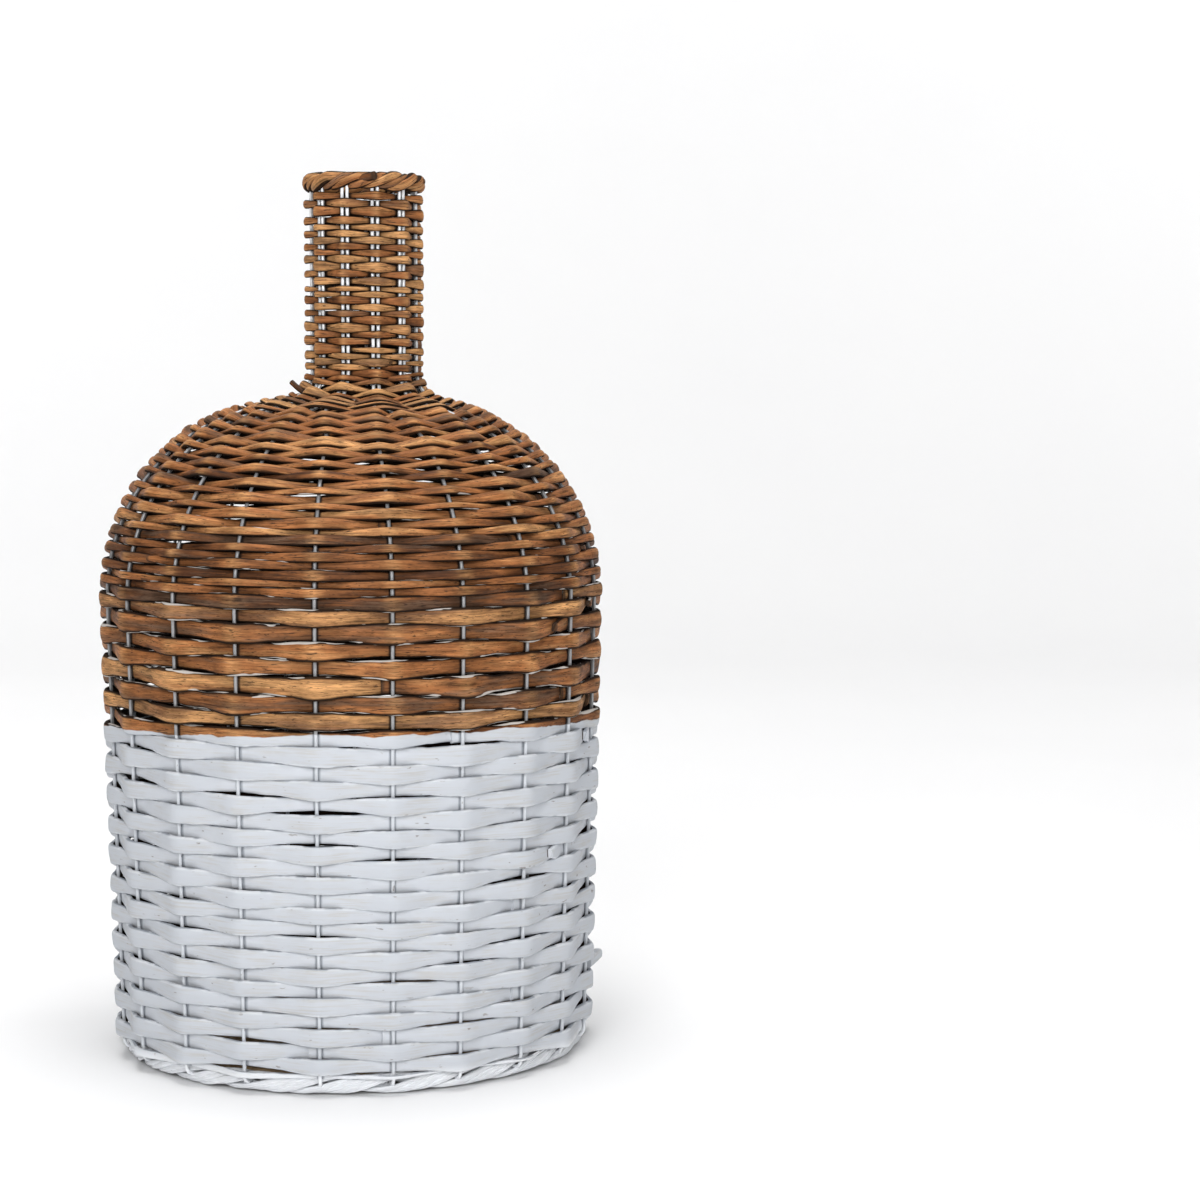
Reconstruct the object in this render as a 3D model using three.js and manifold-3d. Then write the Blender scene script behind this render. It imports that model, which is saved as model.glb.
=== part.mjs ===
// Bottle-shaped wicker vase: willow rods woven on a cage of bent wire stakes.
// Millimetres, +Z up, -Y is the front, the floor is z = 0 under the middle of the body.
import * as THREE from "three";
import Module from "manifold-3d";

// The cage. Radii and heights are those of the centre line of the wire.
const bottleHeight = 610;
const wallTopRadius = 171.5;
const wallFootRadius = 164;
const wallTopHeight = 320;
const shoulderAxis = 38.5; // distance of the shoulder arc's centre from the body's axis
const neckRadius = 36.5;
const neckFillet = 24;
const neckShift = 10; // the neck stands this far to the right of the body's axis
const footBend = 5;
const turnedInLength = 30; // the lower end of each stake, turned in under the base
const wireDiameter = 2.5;

// Stakes run up the neck two by two, with one left over, so both counts are odd
// and a single weaver changes sides on every row.
const neckPairs = 10;
const pairSpacing = 3.6;
const pairingLength = 65; // length of shoulder over which the stakes draw together
const firstStakeAngle = 94; // degrees to the right of the front

// Rods. A pitch is the height of one row along the wall.
const paintHeight = 230; // rods below this are painted white
const whitePitch = 10.3;
const brownPitch = 11.6;
const shoulderPitch = 6.7;
const neckPitch = 4.6;
const pitchChange = 24; // length of wall over which one pitch passes into the next
const wallRodThickness = 4.6;
const shoulderRodThickness = 4.2;
const neckRodThickness = 3.0;
const rodCrown = 0.55; // width of a split rod's outer face as a share of its inner face
const rodSwell = 0.22; // share by which a rod is wider outside a stake, and narrower inside the next
const rowGap = 0.6;
const rodEndGap = 0.6;
const whiteRods = 10;
const brownRods = 3;
const shoulderRods = 10;
const neckRods = 5;

// Borders and base.
const rimStrand = 5.4;
const footStrand = 6.2;
const footFlat = 0.8; // depth of the flats on which the foot border stands
const panelThickness = 5;
const panelEdgeGap = 0.9;
const panelSides = 32;

// Fits.
const weaveClearance = 0.45;
const seatClearance = 0.3;
const steepest = THREE.MathUtils.degToRad(60); // steepest slope of a rod between two crossings

// Steps along the curved parts of a stake.
const shoulderSteps = 9;
const filletSteps = 4;
const bendSteps = 2;

const wireRadius = wireDiameter / 2;
const stakeCount = 2 * neckPairs + 1;
const neckGroups = neckPairs + 1;
const strandGap = 2 * seatClearance;
const footReach = wireRadius + weaveClearance + footStrand;
const turnedInHeight = footReach - footFlat;
const footStrandRise = footStrand / 2 + seatClearance;
const rimStrandRise = rimStrand / 2 + seatClearance;
const stakeTop = bottleHeight - rimStrandRise;

const galvanised = new THREE.MeshStandardMaterial({ color: 0xb4b6b5, metalness: 0.8, roughness: 0.4 });
const willow = new THREE.MeshStandardMaterial({ color: 0x9a6a45, roughness: 0.75 });
const paintedWillow = new THREE.MeshStandardMaterial({ color: 0xe6e6e8, roughness: 0.8 });
const plywood = new THREE.MeshStandardMaterial({ color: 0xc49a6c, roughness: 0.8 });

const vase = new THREE.Group();
vase.name = "wicker_bottle_vase";

function addPiece(name, geometry, material) {
  const mesh = new THREE.Mesh(geometry, material);
  mesh.name = name;
  vase.add(mesh);
}

const clamp01 = (v) => Math.min(1, Math.max(0, v));
const smooth = (v) => v * v * (3 - 2 * v);
const mix = (a, b, t) => a + (b - a) * t;

// The bend line of a stake in the plane of the axis, from its turned-in end to its top.
// The shoulder is an arc, and a fillet tangent to it carries the wire into the neck.
function bendLine() {
  const points = [];
  const marks = {};
  const shoulderCentre = new THREE.Vector2(shoulderAxis, wallTopHeight);
  const shoulderRadius = wallTopRadius - shoulderAxis;
  const acrossCentres = neckRadius + neckFillet - shoulderAxis;
  const betweenCentres = shoulderRadius + neckFillet;
  const touchAngle = Math.acos(acrossCentres / betweenCentres);
  const rise = betweenCentres * Math.sin(touchAngle);
  const filletCentre = new THREE.Vector2(neckRadius + neckFillet, wallTopHeight + rise);
  const arcPoint = (centre, radius, angle) =>
    new THREE.Vector2(centre.x + radius * Math.cos(angle), centre.y + radius * Math.sin(angle));

  const bendAxis = wallFootRadius - footBend;
  points.push(new THREE.Vector2(bendAxis - turnedInLength, turnedInHeight));
  marks.bend = points.length;
  const bendCentre = new THREE.Vector2(bendAxis, turnedInHeight + footBend);
  for (let i = 0; i <= bendSteps; i++) {
    points.push(arcPoint(bendCentre, footBend, (i / bendSteps - 1) * (Math.PI / 2)));
  }
  marks.wall = points.length - 1;
  marks.shoulder = points.length;
  for (let i = 0; i <= shoulderSteps; i++) {
    points.push(arcPoint(shoulderCentre, shoulderRadius, (touchAngle * i) / shoulderSteps));
  }
  marks.fillet = points.length - 1;
  for (let i = 1; i <= filletSteps; i++) {
    points.push(arcPoint(filletCentre, neckFillet, mix(touchAngle + Math.PI, Math.PI, i / filletSteps)));
  }
  marks.neck = points.length - 1;
  points.push(new THREE.Vector2(neckRadius, stakeTop));
  return { points, marks };
}

const { points: bends, marks } = bendLine();
const lengths = [0];
for (let i = 1; i < bends.length; i++) lengths.push(lengths[i - 1] + bends[i].distanceTo(bends[i - 1]));
const lastBend = bends.length - 1;

// Outward direction at each bend: the mean of the two straight stretches that meet there.
const outward = bends.map((_, i) => {
  const sum = new THREE.Vector2();
  for (const j of [i - 1, i]) {
    if (j < 0 || j >= lastBend) continue;
    const along = bends[j + 1].clone().sub(bends[j]).normalize();
    sum.add(new THREE.Vector2(along.y, -along.x));
  }
  return sum.normalize();
});

// How far the stakes have drawn together into pairs, and how far the ring has moved aside, at each bend.
const pairingEnd = lengths[marks.fillet];
const pairingStart = pairingEnd - pairingLength;
const share = (s, from, to) => smooth(clamp01((s - from) / (to - from)));
const pairing = lengths.map((s) => share(s, pairingStart, pairingEnd));
const aside = lengths.map((s) => neckShift * share(s, pairingStart, lengths[marks.neck]));

function stretchAt(s) {
  let i = 0;
  while (i < lastBend - 1 && lengths[i + 1] < s) i++;
  return { i, t: (s - lengths[i]) / (lengths[i + 1] - lengths[i]) };
}

// A point of the wall: s along the bend line, d outward from it, at an angle in degrees from the front.
function wallPoint(s, d, angle) {
  const { i, t } = stretchAt(s);
  const p = bends[i].clone().lerp(bends[i + 1], t);
  const n = outward[i].clone().lerp(outward[i + 1], clamp01(t)).normalize();
  p.addScaledVector(n, d);
  const a = THREE.MathUtils.degToRad(angle);
  return new THREE.Vector3(mix(aside[i], aside[i + 1], t) + p.x * Math.sin(a), -p.x * Math.cos(a), p.y);
}

function radiusAt(s) {
  const { i, t } = stretchAt(s);
  return mix(bends[i].x, bends[i + 1].x, t);
}

// How steeply the wall stands there: 1 where it is upright, 0 where it is level.
function uprightAt(s) {
  const { i, t } = stretchAt(s);
  return clamp01(mix(outward[i].x, outward[i + 1].x, clamp01(t)));
}

function lengthAtHeight(z) {
  const z0 = bends[marks.wall].y;
  const z1 = bends[marks.shoulder].y;
  return mix(lengths[marks.wall], lengths[marks.shoulder], (z - z0) / (z1 - z0));
}

// Angles. A group is a pair of stakes in the neck, or the stake left over.
const stakeStep = 360 / stakeCount;
const groupStep = 360 / neckGroups;
const firstGroupAngle = firstStakeAngle + (stakeStep * (stakeCount - 1) - groupStep * (neckGroups - 1));
const groupAngle = (g) => firstGroupAngle + g * groupStep;
const evenAngle = (k) => firstStakeAngle + k * stakeStep;

function pairedAngle(k) {
  const g = Math.floor(k / 2);
  if (k === stakeCount - 1) return groupAngle(g);
  const half = THREE.MathUtils.radToDeg(Math.asin(pairSpacing / 2 / neckRadius));
  return groupAngle(g) + (k % 2 ? half : -half);
}

function stakeAngle(k, s) {
  const { i, t } = stretchAt(s);
  return mix(evenAngle(k), pairedAngle(k), mix(pairing[i], pairing[i + 1], t));
}

// A closed bar lofted through rings of the same number of points.
function loft(rings) {
  const sides = rings[0].length;
  const positions = [];
  const index = [];
  for (const ring of rings) for (const p of ring) positions.push(p.x, p.y, p.z);
  for (let r = 0; r + 1 < rings.length; r++) {
    for (let c = 0; c < sides; c++) {
      const a = r * sides + c;
      const b = r * sides + ((c + 1) % sides);
      index.push(a, b, a + sides, b, b + sides, a + sides);
    }
  }
  const last = (rings.length - 1) * sides;
  for (let c = 1; c + 1 < sides; c++) {
    index.push(0, c + 1, c);
    index.push(last, last + c, last + c + 1);
  }
  const geometry = new THREE.BufferGeometry();
  geometry.setAttribute("position", new THREE.Float32BufferAttribute(positions, 3));
  geometry.setIndex(index);
  geometry.computeVertexNormals();
  return geometry;
}

// One wire, square in section, bent along the bend line.
function stakeGeometry(k) {
  const rings = bends.map((_, i) => {
    const s = lengths[i];
    const angle = stakeAngle(k, s);
    const a = THREE.MathUtils.degToRad(angle);
    const across = new THREE.Vector3(Math.cos(a), Math.sin(a), 0);
    const inner = wallPoint(s, -wireRadius, angle);
    const outer = wallPoint(s, wireRadius, angle);
    const middle = wallPoint(s, 0, angle);
    const right = middle.clone().addScaledVector(across, wireRadius);
    const left = middle.clone().addScaledVector(across, -wireRadius);
    return [outer, right, inner, left];
  });
  return loft(rings);
}

// Distance from the wire's centre line at which a rod of this thickness clears every wire it crosses.
// spread is half the width of the group, fall the angle by which the wall itself turns away before the next
// crossing, span the distance to it, and swing how many times its lift the rod crosses by then.
function rodLift(thickness, spread, fall, span, swing) {
  let lift = thickness;
  for (let i = 0; i < 12; i++) {
    const slope = Math.min(Math.atan((swing * lift) / span) + THREE.MathUtils.degToRad(fall), steepest);
    lift = thickness / 2 + (wireRadius + weaveClearance + spread * Math.sin(slope)) / Math.cos(slope);
  }
  return lift;
}

const chord = (s, step) => 2 * radiusAt(s) * Math.sin(THREE.MathUtils.degToRad(step) / 2);

// Rows. The pitch passes smoothly from one value to the next, and the rows are fitted to the wall's length.
function rowTable(from, to, knots) {
  const pitchAt = (s) => {
    if (s <= knots[0][0]) return knots[0][1];
    for (let i = 1; i < knots.length; i++) {
      const [s0, p0] = knots[i - 1];
      const [s1, p1] = knots[i];
      if (s <= s1) return mix(p0, p1, (s - s0) / (s1 - s0));
    }
    return knots[knots.length - 1][1];
  };
  const steps = 2000;
  const ds = (to - from) / steps;
  const rows = [0];
  for (let i = 0; i < steps; i++) rows.push(rows[i] + ds / pitchAt(from + (i + 0.5) * ds));
  const total = Math.round(rows[steps]);
  const fit = total / rows[steps];
  const lengthOf = (row) => {
    const wanted = row / fit;
    let low = 0;
    let high = steps;
    while (high - low > 1) {
      const middle = (low + high) >> 1;
      if (rows[middle] <= wanted) low = middle;
      else high = middle;
    }
    return from + (low + (wanted - rows[low]) / (rows[low + 1] - rows[low])) * ds;
  };
  const rowOf = (s) => rows[Math.round(clamp01((s - from) / (to - from)) * steps)] * fit;
  return { total, lengthOf, rowOf, pitchOf: (row) => pitchAt(lengthOf(row)) / fit };
}

const footMiddle = lengths[marks.bend] - footStrand / 2;
const wallStart = Math.max(lengths[marks.wall], footMiddle + footStrandRise + footStrand / 2 + rowGap);
const paintLength = lengthAtHeight(paintHeight);
const shoulderLength = lengths[marks.shoulder];
const wallEnd = mix(pairingStart, pairingEnd, 0.56);
const halfChange = pitchChange / 2;
const wallRows = rowTable(wallStart, wallEnd, [
  [paintLength - halfChange, whitePitch],
  [paintLength + halfChange, brownPitch],
  [shoulderLength - halfChange, brownPitch],
  [shoulderLength + halfChange, shoulderPitch],
]);
const rimMiddle = lengths[lastBend] - rimStrand / 2;
const neckEnd = rimMiddle - rimStrandRise - rimStrand / 2 - rowGap;
const neckRows = rowTable(wallEnd, neckEnd, [
  [lengths[marks.fillet], shoulderPitch],
  [lengths[marks.neck], neckPitch],
]);

// Corners of a rod where it crosses a stake. A split rod is a flat bar with a narrower outer face,
// and a thin rod is a three-cornered bar with its ridge outside.
function rodRing(s, d, angle, width, thickness, split) {
  const inner = d - thickness / 2;
  const outer = d + thickness / 2;
  const half = width / 2;
  if (!split) {
    return [
      wallPoint(s, outer, angle),
      wallPoint(s + half, inner, angle),
      wallPoint(s - half, inner, angle),
    ];
  }
  const crown = half * rodCrown;
  return [
    wallPoint(s - crown, outer, angle),
    wallPoint(s + crown, outer, angle),
    wallPoint(s + half, inner, angle),
    wallPoint(s - half, inner, angle),
  ];
}

// One rod of the spiral from crossing u0 to crossing u1. It climbs one row per turn, towards the left of the
// front, and changes sides at every crossing. Both ends are cut behind a stake.
function rodGeometry(weave, u0, u1, split) {
  const rings = [];
  for (let u = u0; u <= u1; u++) rings.push(weave.ring(u, split));
  const trim = (from, to) => {
    const length = from[0].distanceTo(to[0]);
    return from.map((p, i) => p.clone().lerp(to[i], rodEndGap / 2 / length));
  };
  const first = trim(rings[0], rings[1]);
  const final = trim(rings[rings.length - 1], rings[rings.length - 2]);
  rings[0] = first;
  rings[rings.length - 1] = final;
  return loft(rings);
}

// The two weaves: where and how wide a rod is at crossing u. Odd crossings lie outside the stake.
// Half a row is left at each end of a woven stretch, so a whole row is counted between its edges.
const wallWeave = {
  perTurn: stakeCount,
  ring(u, split) {
    const row = u / stakeCount + 0.5;
    const s = wallRows.lengthOf(row);
    const k = (((wallStartStake - u) % stakeCount) + stakeCount) % stakeCount;
    const angle = stakeAngle(k, s);
    const thickness = mix(wallRodThickness, shoulderRodThickness, clamp01((s - shoulderLength) / halfChange));
    const near = [k - 1, k + 1].map((j) => {
      const wrapped = (j + stakeCount) % stakeCount;
      const gap = Math.abs(stakeAngle(wrapped, s) - angle);
      return Math.min(gap, 360 - gap);
    });
    const step = Math.min(...near);
    const lift = rodLift(thickness, 0, (stakeStep / 2) * uprightAt(s), chord(s, step), 2);
    const side = u % 2 ? 1 : -1;
    const width = (wallRows.pitchOf(row) - rowGap) * (1 + side * rodSwell);
    return rodRing(s, side * lift, angle, width, thickness, split);
  },
};

const neckWeave = {
  perTurn: neckGroups,
  ring(u, split) {
    const row = u / neckGroups + 0.5;
    const s = neckRows.lengthOf(row);
    const g = (((neckStartGroup - u) % neckGroups) + neckGroups) % neckGroups;
    const first = Math.min(2 * g, stakeCount - 1);
    const second = Math.min(2 * g + 1, stakeCount - 1);
    const a0 = stakeAngle(first, s);
    const a1 = stakeAngle(second, s);
    const spread = radiusAt(s) * Math.sin(THREE.MathUtils.degToRad(Math.abs(a1 - a0)) / 2);
    const fall = (groupStep / 2) * uprightAt(s);
    const lift = rodLift(neckRodThickness, spread, fall, chord(s, groupStep), 2);
    const side = u % 2 ? 1 : -1;
    return rodRing(s, side * lift, (a0 + a1) / 2, neckRows.pitchOf(row) - rowGap, neckRodThickness, split);
  },
};

// The spiral starts at the back.
const wallStartStake = Math.round(((180 - firstStakeAngle + 720) % 360) / stakeStep);
const neckStartGroup = Math.round(((180 - firstGroupAngle + 720) % 360) / groupStep);

// Cuts a stretch of the spiral into rods, each ending at an even crossing, which lies behind its stake.
function addRods(prefix, weave, fromRow, toRow, count, split, material) {
  const even = (v) => 2 * Math.round(v / 2);
  const u0 = even(fromRow * weave.perTurn);
  const u1 = even(toRow * weave.perTurn);
  for (let i = 0; i < count; i++) {
    const start = u0 + even(((u1 - u0) * i) / count);
    const end = u0 + even(((u1 - u0) * (i + 1)) / count);
    const rod = rodGeometry(weave, start, end, split);
    addPiece(`${prefix}_${String(i + 1).padStart(2, "0")}`, rod, material);
  }
}

// A border of two strands twisted round the stakes. A strand lies outside one group and inside the next,
// and rises to the right where it lies outside.
function strandGeometry(middle, size, groups, angleOf, spread, phase) {
  const step = 360 / groups;
  const rise = size / 2 + seatClearance;
  const radius = radiusAt(middle);
  const span = radius * Math.sin(THREE.MathUtils.degToRad(step) / 2);
  const lift = rodLift(size, spread, (step / 4) * uprightAt(middle), span, 1);
  const rings = [];
  for (let q = 0; q <= 2 * groups; q++) {
    const g = Math.floor(q / 2);
    const here = angleOf(g % groups);
    const next = angleOf((g + 1) % groups);
    const ahead = (((next - here) % 360) + 360) % 360;
    const angle = q % 2 ? here + ahead / 2 : here;
    const turn = (phase + q) * (Math.PI / 2);
    const d = lift * Math.cos(turn);
    const s = middle + rise * Math.sin(turn);
    const e = size / 2;
    rings.push([
      wallPoint(s, d - e, angle),
      wallPoint(s + e, d, angle),
      wallPoint(s, d + e, angle),
      wallPoint(s - e, d, angle),
    ]);
  }
  const length = rings[0][0].distanceTo(rings[1][0]);
  const final = rings.length - 1;
  const first = rings[0].map((p, i) => p.clone().lerp(rings[1][i], strandGap / length));
  const end = rings[final].map((p, i) => p.clone().lerp(rings[final - 1][i], strandGap / length));
  rings[0] = first;
  rings[final] = end;
  return loft(rings);
}

// Takes off what lies below the floor, which leaves the flats of the foot border.
const wasm = await Module();
wasm.setup();

function flatFoot(geometry) {
  const mesh = new wasm.Mesh({
    numProp: 3,
    vertProperties: new Float32Array(geometry.getAttribute("position").array),
    triVerts: new Uint32Array(geometry.getIndex().array),
  });
  const cut = new wasm.Manifold(mesh).trimByPlane([0, 0, 1], 0).getMesh();
  const flat = new THREE.BufferGeometry();
  flat.setAttribute("position", new THREE.Float32BufferAttribute(cut.vertProperties, 3));
  flat.setIndex(Array.from(cut.triVerts));
  flat.computeVertexNormals();
  return flat;
}

// The round base inside the foot border, lying on the turned-in ends of the stakes.
function panelGeometry() {
  const bottom = turnedInHeight + wireRadius + seatClearance;
  const edge = radiusAt(footMiddle) - footStrandRise - footStrand / 2 - panelEdgeGap;
  const outline = [
    new THREE.Vector2(0, bottom),
    new THREE.Vector2(edge, bottom),
    new THREE.Vector2(edge, bottom + panelThickness),
    new THREE.Vector2(0, bottom + panelThickness),
  ];
  return new THREE.LatheGeometry(outline, panelSides).rotateX(Math.PI / 2);
}

for (let k = 0; k < stakeCount; k++) {
  addPiece(`stake_${String(k + 1).padStart(2, "0")}`, stakeGeometry(k), galvanised);
}

const paintRow = wallRows.rowOf(paintLength);
const shoulderRow = wallRows.rowOf(shoulderLength);
addRods("white_rod", wallWeave, 0, paintRow, whiteRods, true, paintedWillow);
addRods("wall_rod", wallWeave, paintRow, shoulderRow, brownRods, true, willow);
addRods("shoulder_rod", wallWeave, shoulderRow, wallRows.total - 1, shoulderRods, false, willow);
addRods("neck_rod", neckWeave, 0, neckRows.total - 1, neckRods, false, willow);

for (let i = 0; i < 2; i++) {
  const foot = strandGeometry(footMiddle, footStrand, stakeCount, (k) => evenAngle(k), 0, 2 * i);
  addPiece(`foot_strand_${i + 1}`, flatFoot(foot), paintedWillow);
  const rim = strandGeometry(rimMiddle, rimStrand, neckGroups, groupAngle, pairSpacing / 2, 2 * i);
  addPiece(`rim_strand_${i + 1}`, rim, willow);
}
addPiece("base_panel", panelGeometry(), plywood);

export default vase;
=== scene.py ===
"""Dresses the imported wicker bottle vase: willow rods woven on bent wire, with a white-painted lower wall."""

import logging
import math
from dataclasses import dataclass, field
from enum import Enum
from functools import cached_property

import bmesh
import bpy
import numpy as np
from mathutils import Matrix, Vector

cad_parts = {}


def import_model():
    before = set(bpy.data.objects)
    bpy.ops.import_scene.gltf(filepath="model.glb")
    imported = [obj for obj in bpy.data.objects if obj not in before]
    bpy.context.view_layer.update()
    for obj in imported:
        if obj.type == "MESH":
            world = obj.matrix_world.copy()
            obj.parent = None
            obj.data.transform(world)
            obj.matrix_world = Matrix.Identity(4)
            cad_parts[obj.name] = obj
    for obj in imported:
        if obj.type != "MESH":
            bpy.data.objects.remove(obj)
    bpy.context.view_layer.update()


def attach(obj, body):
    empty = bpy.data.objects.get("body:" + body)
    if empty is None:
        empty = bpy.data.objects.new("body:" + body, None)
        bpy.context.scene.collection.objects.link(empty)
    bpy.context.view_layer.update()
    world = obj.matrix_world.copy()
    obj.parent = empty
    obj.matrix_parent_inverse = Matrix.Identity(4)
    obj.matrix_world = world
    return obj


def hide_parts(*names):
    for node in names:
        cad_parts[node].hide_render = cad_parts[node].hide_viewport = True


LOG = logging.getLogger("wicker_bottle_vase")
MM = 0.001
GRAIN_RANGE = 40.0
Colour = tuple[float, float, float]
Point = tuple[float, float, float]
Range = tuple[float, float]


class RodKind(Enum):
    """How a rod was prepared, with the points round its section and the depth of its inner side."""

    SPLIT = (16, 0.85)
    ROUND = (12, 0.9)

    @property
    def sides(self) -> int:
        """Points round the section."""
        return self.value[0]

    @property
    def inner_depth(self) -> float:
        """Depth of the section's inner side as a share of the outer side."""
        return self.value[1]


class Slot(Enum):
    """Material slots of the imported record."""

    WIRE = "galvanised_wire"
    NATURAL = "natural_willow"
    PAINTED = "painted_willow"
    PLYWOOD = "base_plywood"


class Uneven(Enum):
    """What varies from crossing to crossing of a weaver, each with random numbers of its own."""

    ROW = 1
    ROLL = 2
    WIDTH = 3
    DEPTH = 4
    SLACK = 5


# Small helpers


def smooth_share(s: np.ndarray, start: float, end: float) -> np.ndarray:
    """Smooth share from 0 at start to 1 at end.

    Args:
        s: Lengths or crossings.
        start: Where the share begins.
        end: Where it is whole.

    Returns:
        The share at each of them.
    """
    t = np.clip((np.asarray(s, float) - start) / (end - start), 0, 1)
    return t * t * (3 - 2 * t)


def hump(x: np.ndarray, width: float) -> np.ndarray:
    """A smooth hump, 1 at zero and nearly 0 past twice the width."""
    return np.exp(-((x / width) ** 2))


def unit(vectors: np.ndarray) -> np.ndarray:
    """Vectors of length 1."""
    return vectors / np.linalg.norm(vectors, axis=-1, keepdims=True)


def section_directions(
    place: np.ndarray, outward: np.ndarray, up: np.ndarray
) -> tuple[np.ndarray, np.ndarray]:
    """Turns wall directions square to a rod's own run.

    Args:
        place: Points of the rod.
        outward: Directions away from the wall.
        up: Directions along the wall's bend line.

    Returns:
        Outward and across directions of the rod's section.
    """
    run = unit(np.gradient(place, axis=0))
    out = unit(outward - np.sum(outward * run, 1)[:, None] * run)
    across = np.cross(run, out)
    across *= np.sign(np.sum(across * up, 1))[:, None]
    return out, across


def put_in_scene(name: str, data: bpy.types.ID) -> bpy.types.Object:
    """Adds an object with this mesh, camera or light to the scene."""
    thing = bpy.data.objects.new(name, data)
    bpy.context.scene.collection.objects.link(thing)
    return thing


def look_along(thing: bpy.types.Object, direction: Vector) -> None:
    """Turns a camera or a light to look along a direction."""
    thing.rotation_mode = "QUATERNION"
    thing.rotation_quaternion = direction.to_track_quat("-Z", "Y")


# The form of the cage


@dataclass(frozen=True)
class CageForm:
    """The bend line of the wire stakes and their places round the axis, in millimetres and degrees."""

    height: float = 610.0
    wall_top_radius: float = 171.5
    wall_foot_radius: float = 164.0
    wall_top_height: float = 320.0
    shoulder_axis: float = 38.5
    neck_radius: float = 36.5
    neck_fillet: float = 24.0
    neck_shift: float = 10.0
    foot_bend: float = 5.0
    turned_in_length: float = 30.0
    turned_in_height: float = 7.1
    rim_rise: float = 3.0
    wire_radius: float = 1.25
    neck_pairs: int = 10
    pair_spacing: float = 3.6
    pairing_length: float = 65.0
    first_stake_angle: float = 94.0
    unevenness: float = 1.1

    @property
    def stakes(self) -> int:
        """Number of stakes."""
        return 2 * self.neck_pairs + 1

    @property
    def groups(self) -> int:
        """Number of pairs in the neck, counting the stake left over."""
        return self.neck_pairs + 1

    @cached_property
    def meridian(self) -> dict[str, np.ndarray | float]:
        """Samples of the bend line: length, radius, height and direction, and the lengths of its marks."""

        def arc(cx: float, cz: float, radius: float, a0: float, a1: float, count: int) -> np.ndarray:
            """Points of a circular bend."""
            a = np.linspace(a0, a1, count)
            return np.stack([cx + radius * np.cos(a), cz + radius * np.sin(a)], 1)

        bend_axis = self.wall_foot_radius - self.foot_bend
        low = self.turned_in_height
        shoulder_radius = self.wall_top_radius - self.shoulder_axis
        fillet_axis = self.neck_radius + self.neck_fillet
        between = shoulder_radius + self.neck_fillet
        touch = math.acos((fillet_axis - self.shoulder_axis) / between)
        rise = self.wall_top_height + between * math.sin(touch)
        spoke = np.linspace([bend_axis - self.turned_in_length, low], [bend_axis, low], 30)
        bend = arc(bend_axis, low + self.foot_bend, self.foot_bend, -math.pi / 2, 0, 12)
        wall = np.linspace(bend[-1], [self.wall_top_radius, self.wall_top_height], 200)
        shoulder = arc(self.shoulder_axis, self.wall_top_height, shoulder_radius, 0, touch, 200)
        fillet = arc(fillet_axis, rise, self.neck_fillet, touch + math.pi, math.pi, 60)
        neck = np.linspace(fillet[-1], [self.neck_radius, self.height - self.rim_rise], 120)
        later = [bend, wall, shoulder, fillet, neck]
        line = np.concatenate([spoke] + [part[1:] for part in later])
        ends = np.cumsum([len(spoke)] + [len(part) - 1 for part in later]) - 1
        s = np.concatenate([[0.0], np.cumsum(np.hypot(*np.diff(line, axis=0).T))])
        along = unit(np.gradient(line, s, axis=0))
        names = ["bend", "wall", "shoulder", "fillet", "neck", "top"]
        marks = {name: float(s[i]) for name, i in zip(names, ends)}
        return {"s": s, "r": line[:, 0], "z": line[:, 1], "tr": along[:, 0], "tz": along[:, 1], **marks}

    def pairing(self, s: np.ndarray) -> np.ndarray:
        """How far the stakes have drawn together into pairs."""
        end = self.meridian["fillet"]
        return smooth_share(s, end - self.pairing_length, end)

    def aside(self, s: np.ndarray) -> np.ndarray:
        """How far the ring of stakes stands to the right of the body's axis."""
        start = self.meridian["fillet"] - self.pairing_length
        return self.neck_shift * smooth_share(s, start, self.meridian["neck"])

    def at(self, name: str, s: np.ndarray) -> np.ndarray:
        """Samples of one column of the meridian."""
        return np.interp(s, self.meridian["s"], self.meridian[name])

    def point(self, s: np.ndarray, d: np.ndarray, angle: np.ndarray) -> np.ndarray:
        """Points of the wall.

        Args:
            s: Lengths along the bend line.
            d: Distances outward from the wire's centre line.
            angle: Degrees to the right of the front.

        Returns:
            Points in millimetres, one row each.
        """
        a = np.radians(angle)
        r = self.at("r", s) + d * self.at("tz", s)
        z = self.at("z", s) - d * self.at("tr", s)
        return np.stack([self.aside(s) + r * np.sin(a), -r * np.cos(a), z], -1)

    def directions(self, s: np.ndarray, angle: np.ndarray) -> tuple[np.ndarray, np.ndarray]:
        """Outward and upward directions of the wall.

        Args:
            s: Lengths along the bend line.
            angle: Degrees to the right of the front.

        Returns:
            Unit vectors away from the wall and along the bend line.
        """
        a = np.radians(angle)
        tr, tz = self.at("tr", s), self.at("tz", s)
        out = np.stack([tz * np.sin(a), -tz * np.cos(a), -tr], -1)
        up = np.stack([tr * np.sin(a), -tr * np.cos(a), tz], -1)
        return unit(out), unit(up)

    def group_angle(self, group: np.ndarray) -> np.ndarray:
        """Angle of a pair of stakes in the neck."""
        step, group_step = 360 / self.stakes, 360 / self.groups
        first = self.first_stake_angle + step * (self.stakes - 1) - group_step * (self.groups - 1)
        return first + np.asarray(group) * group_step

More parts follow.
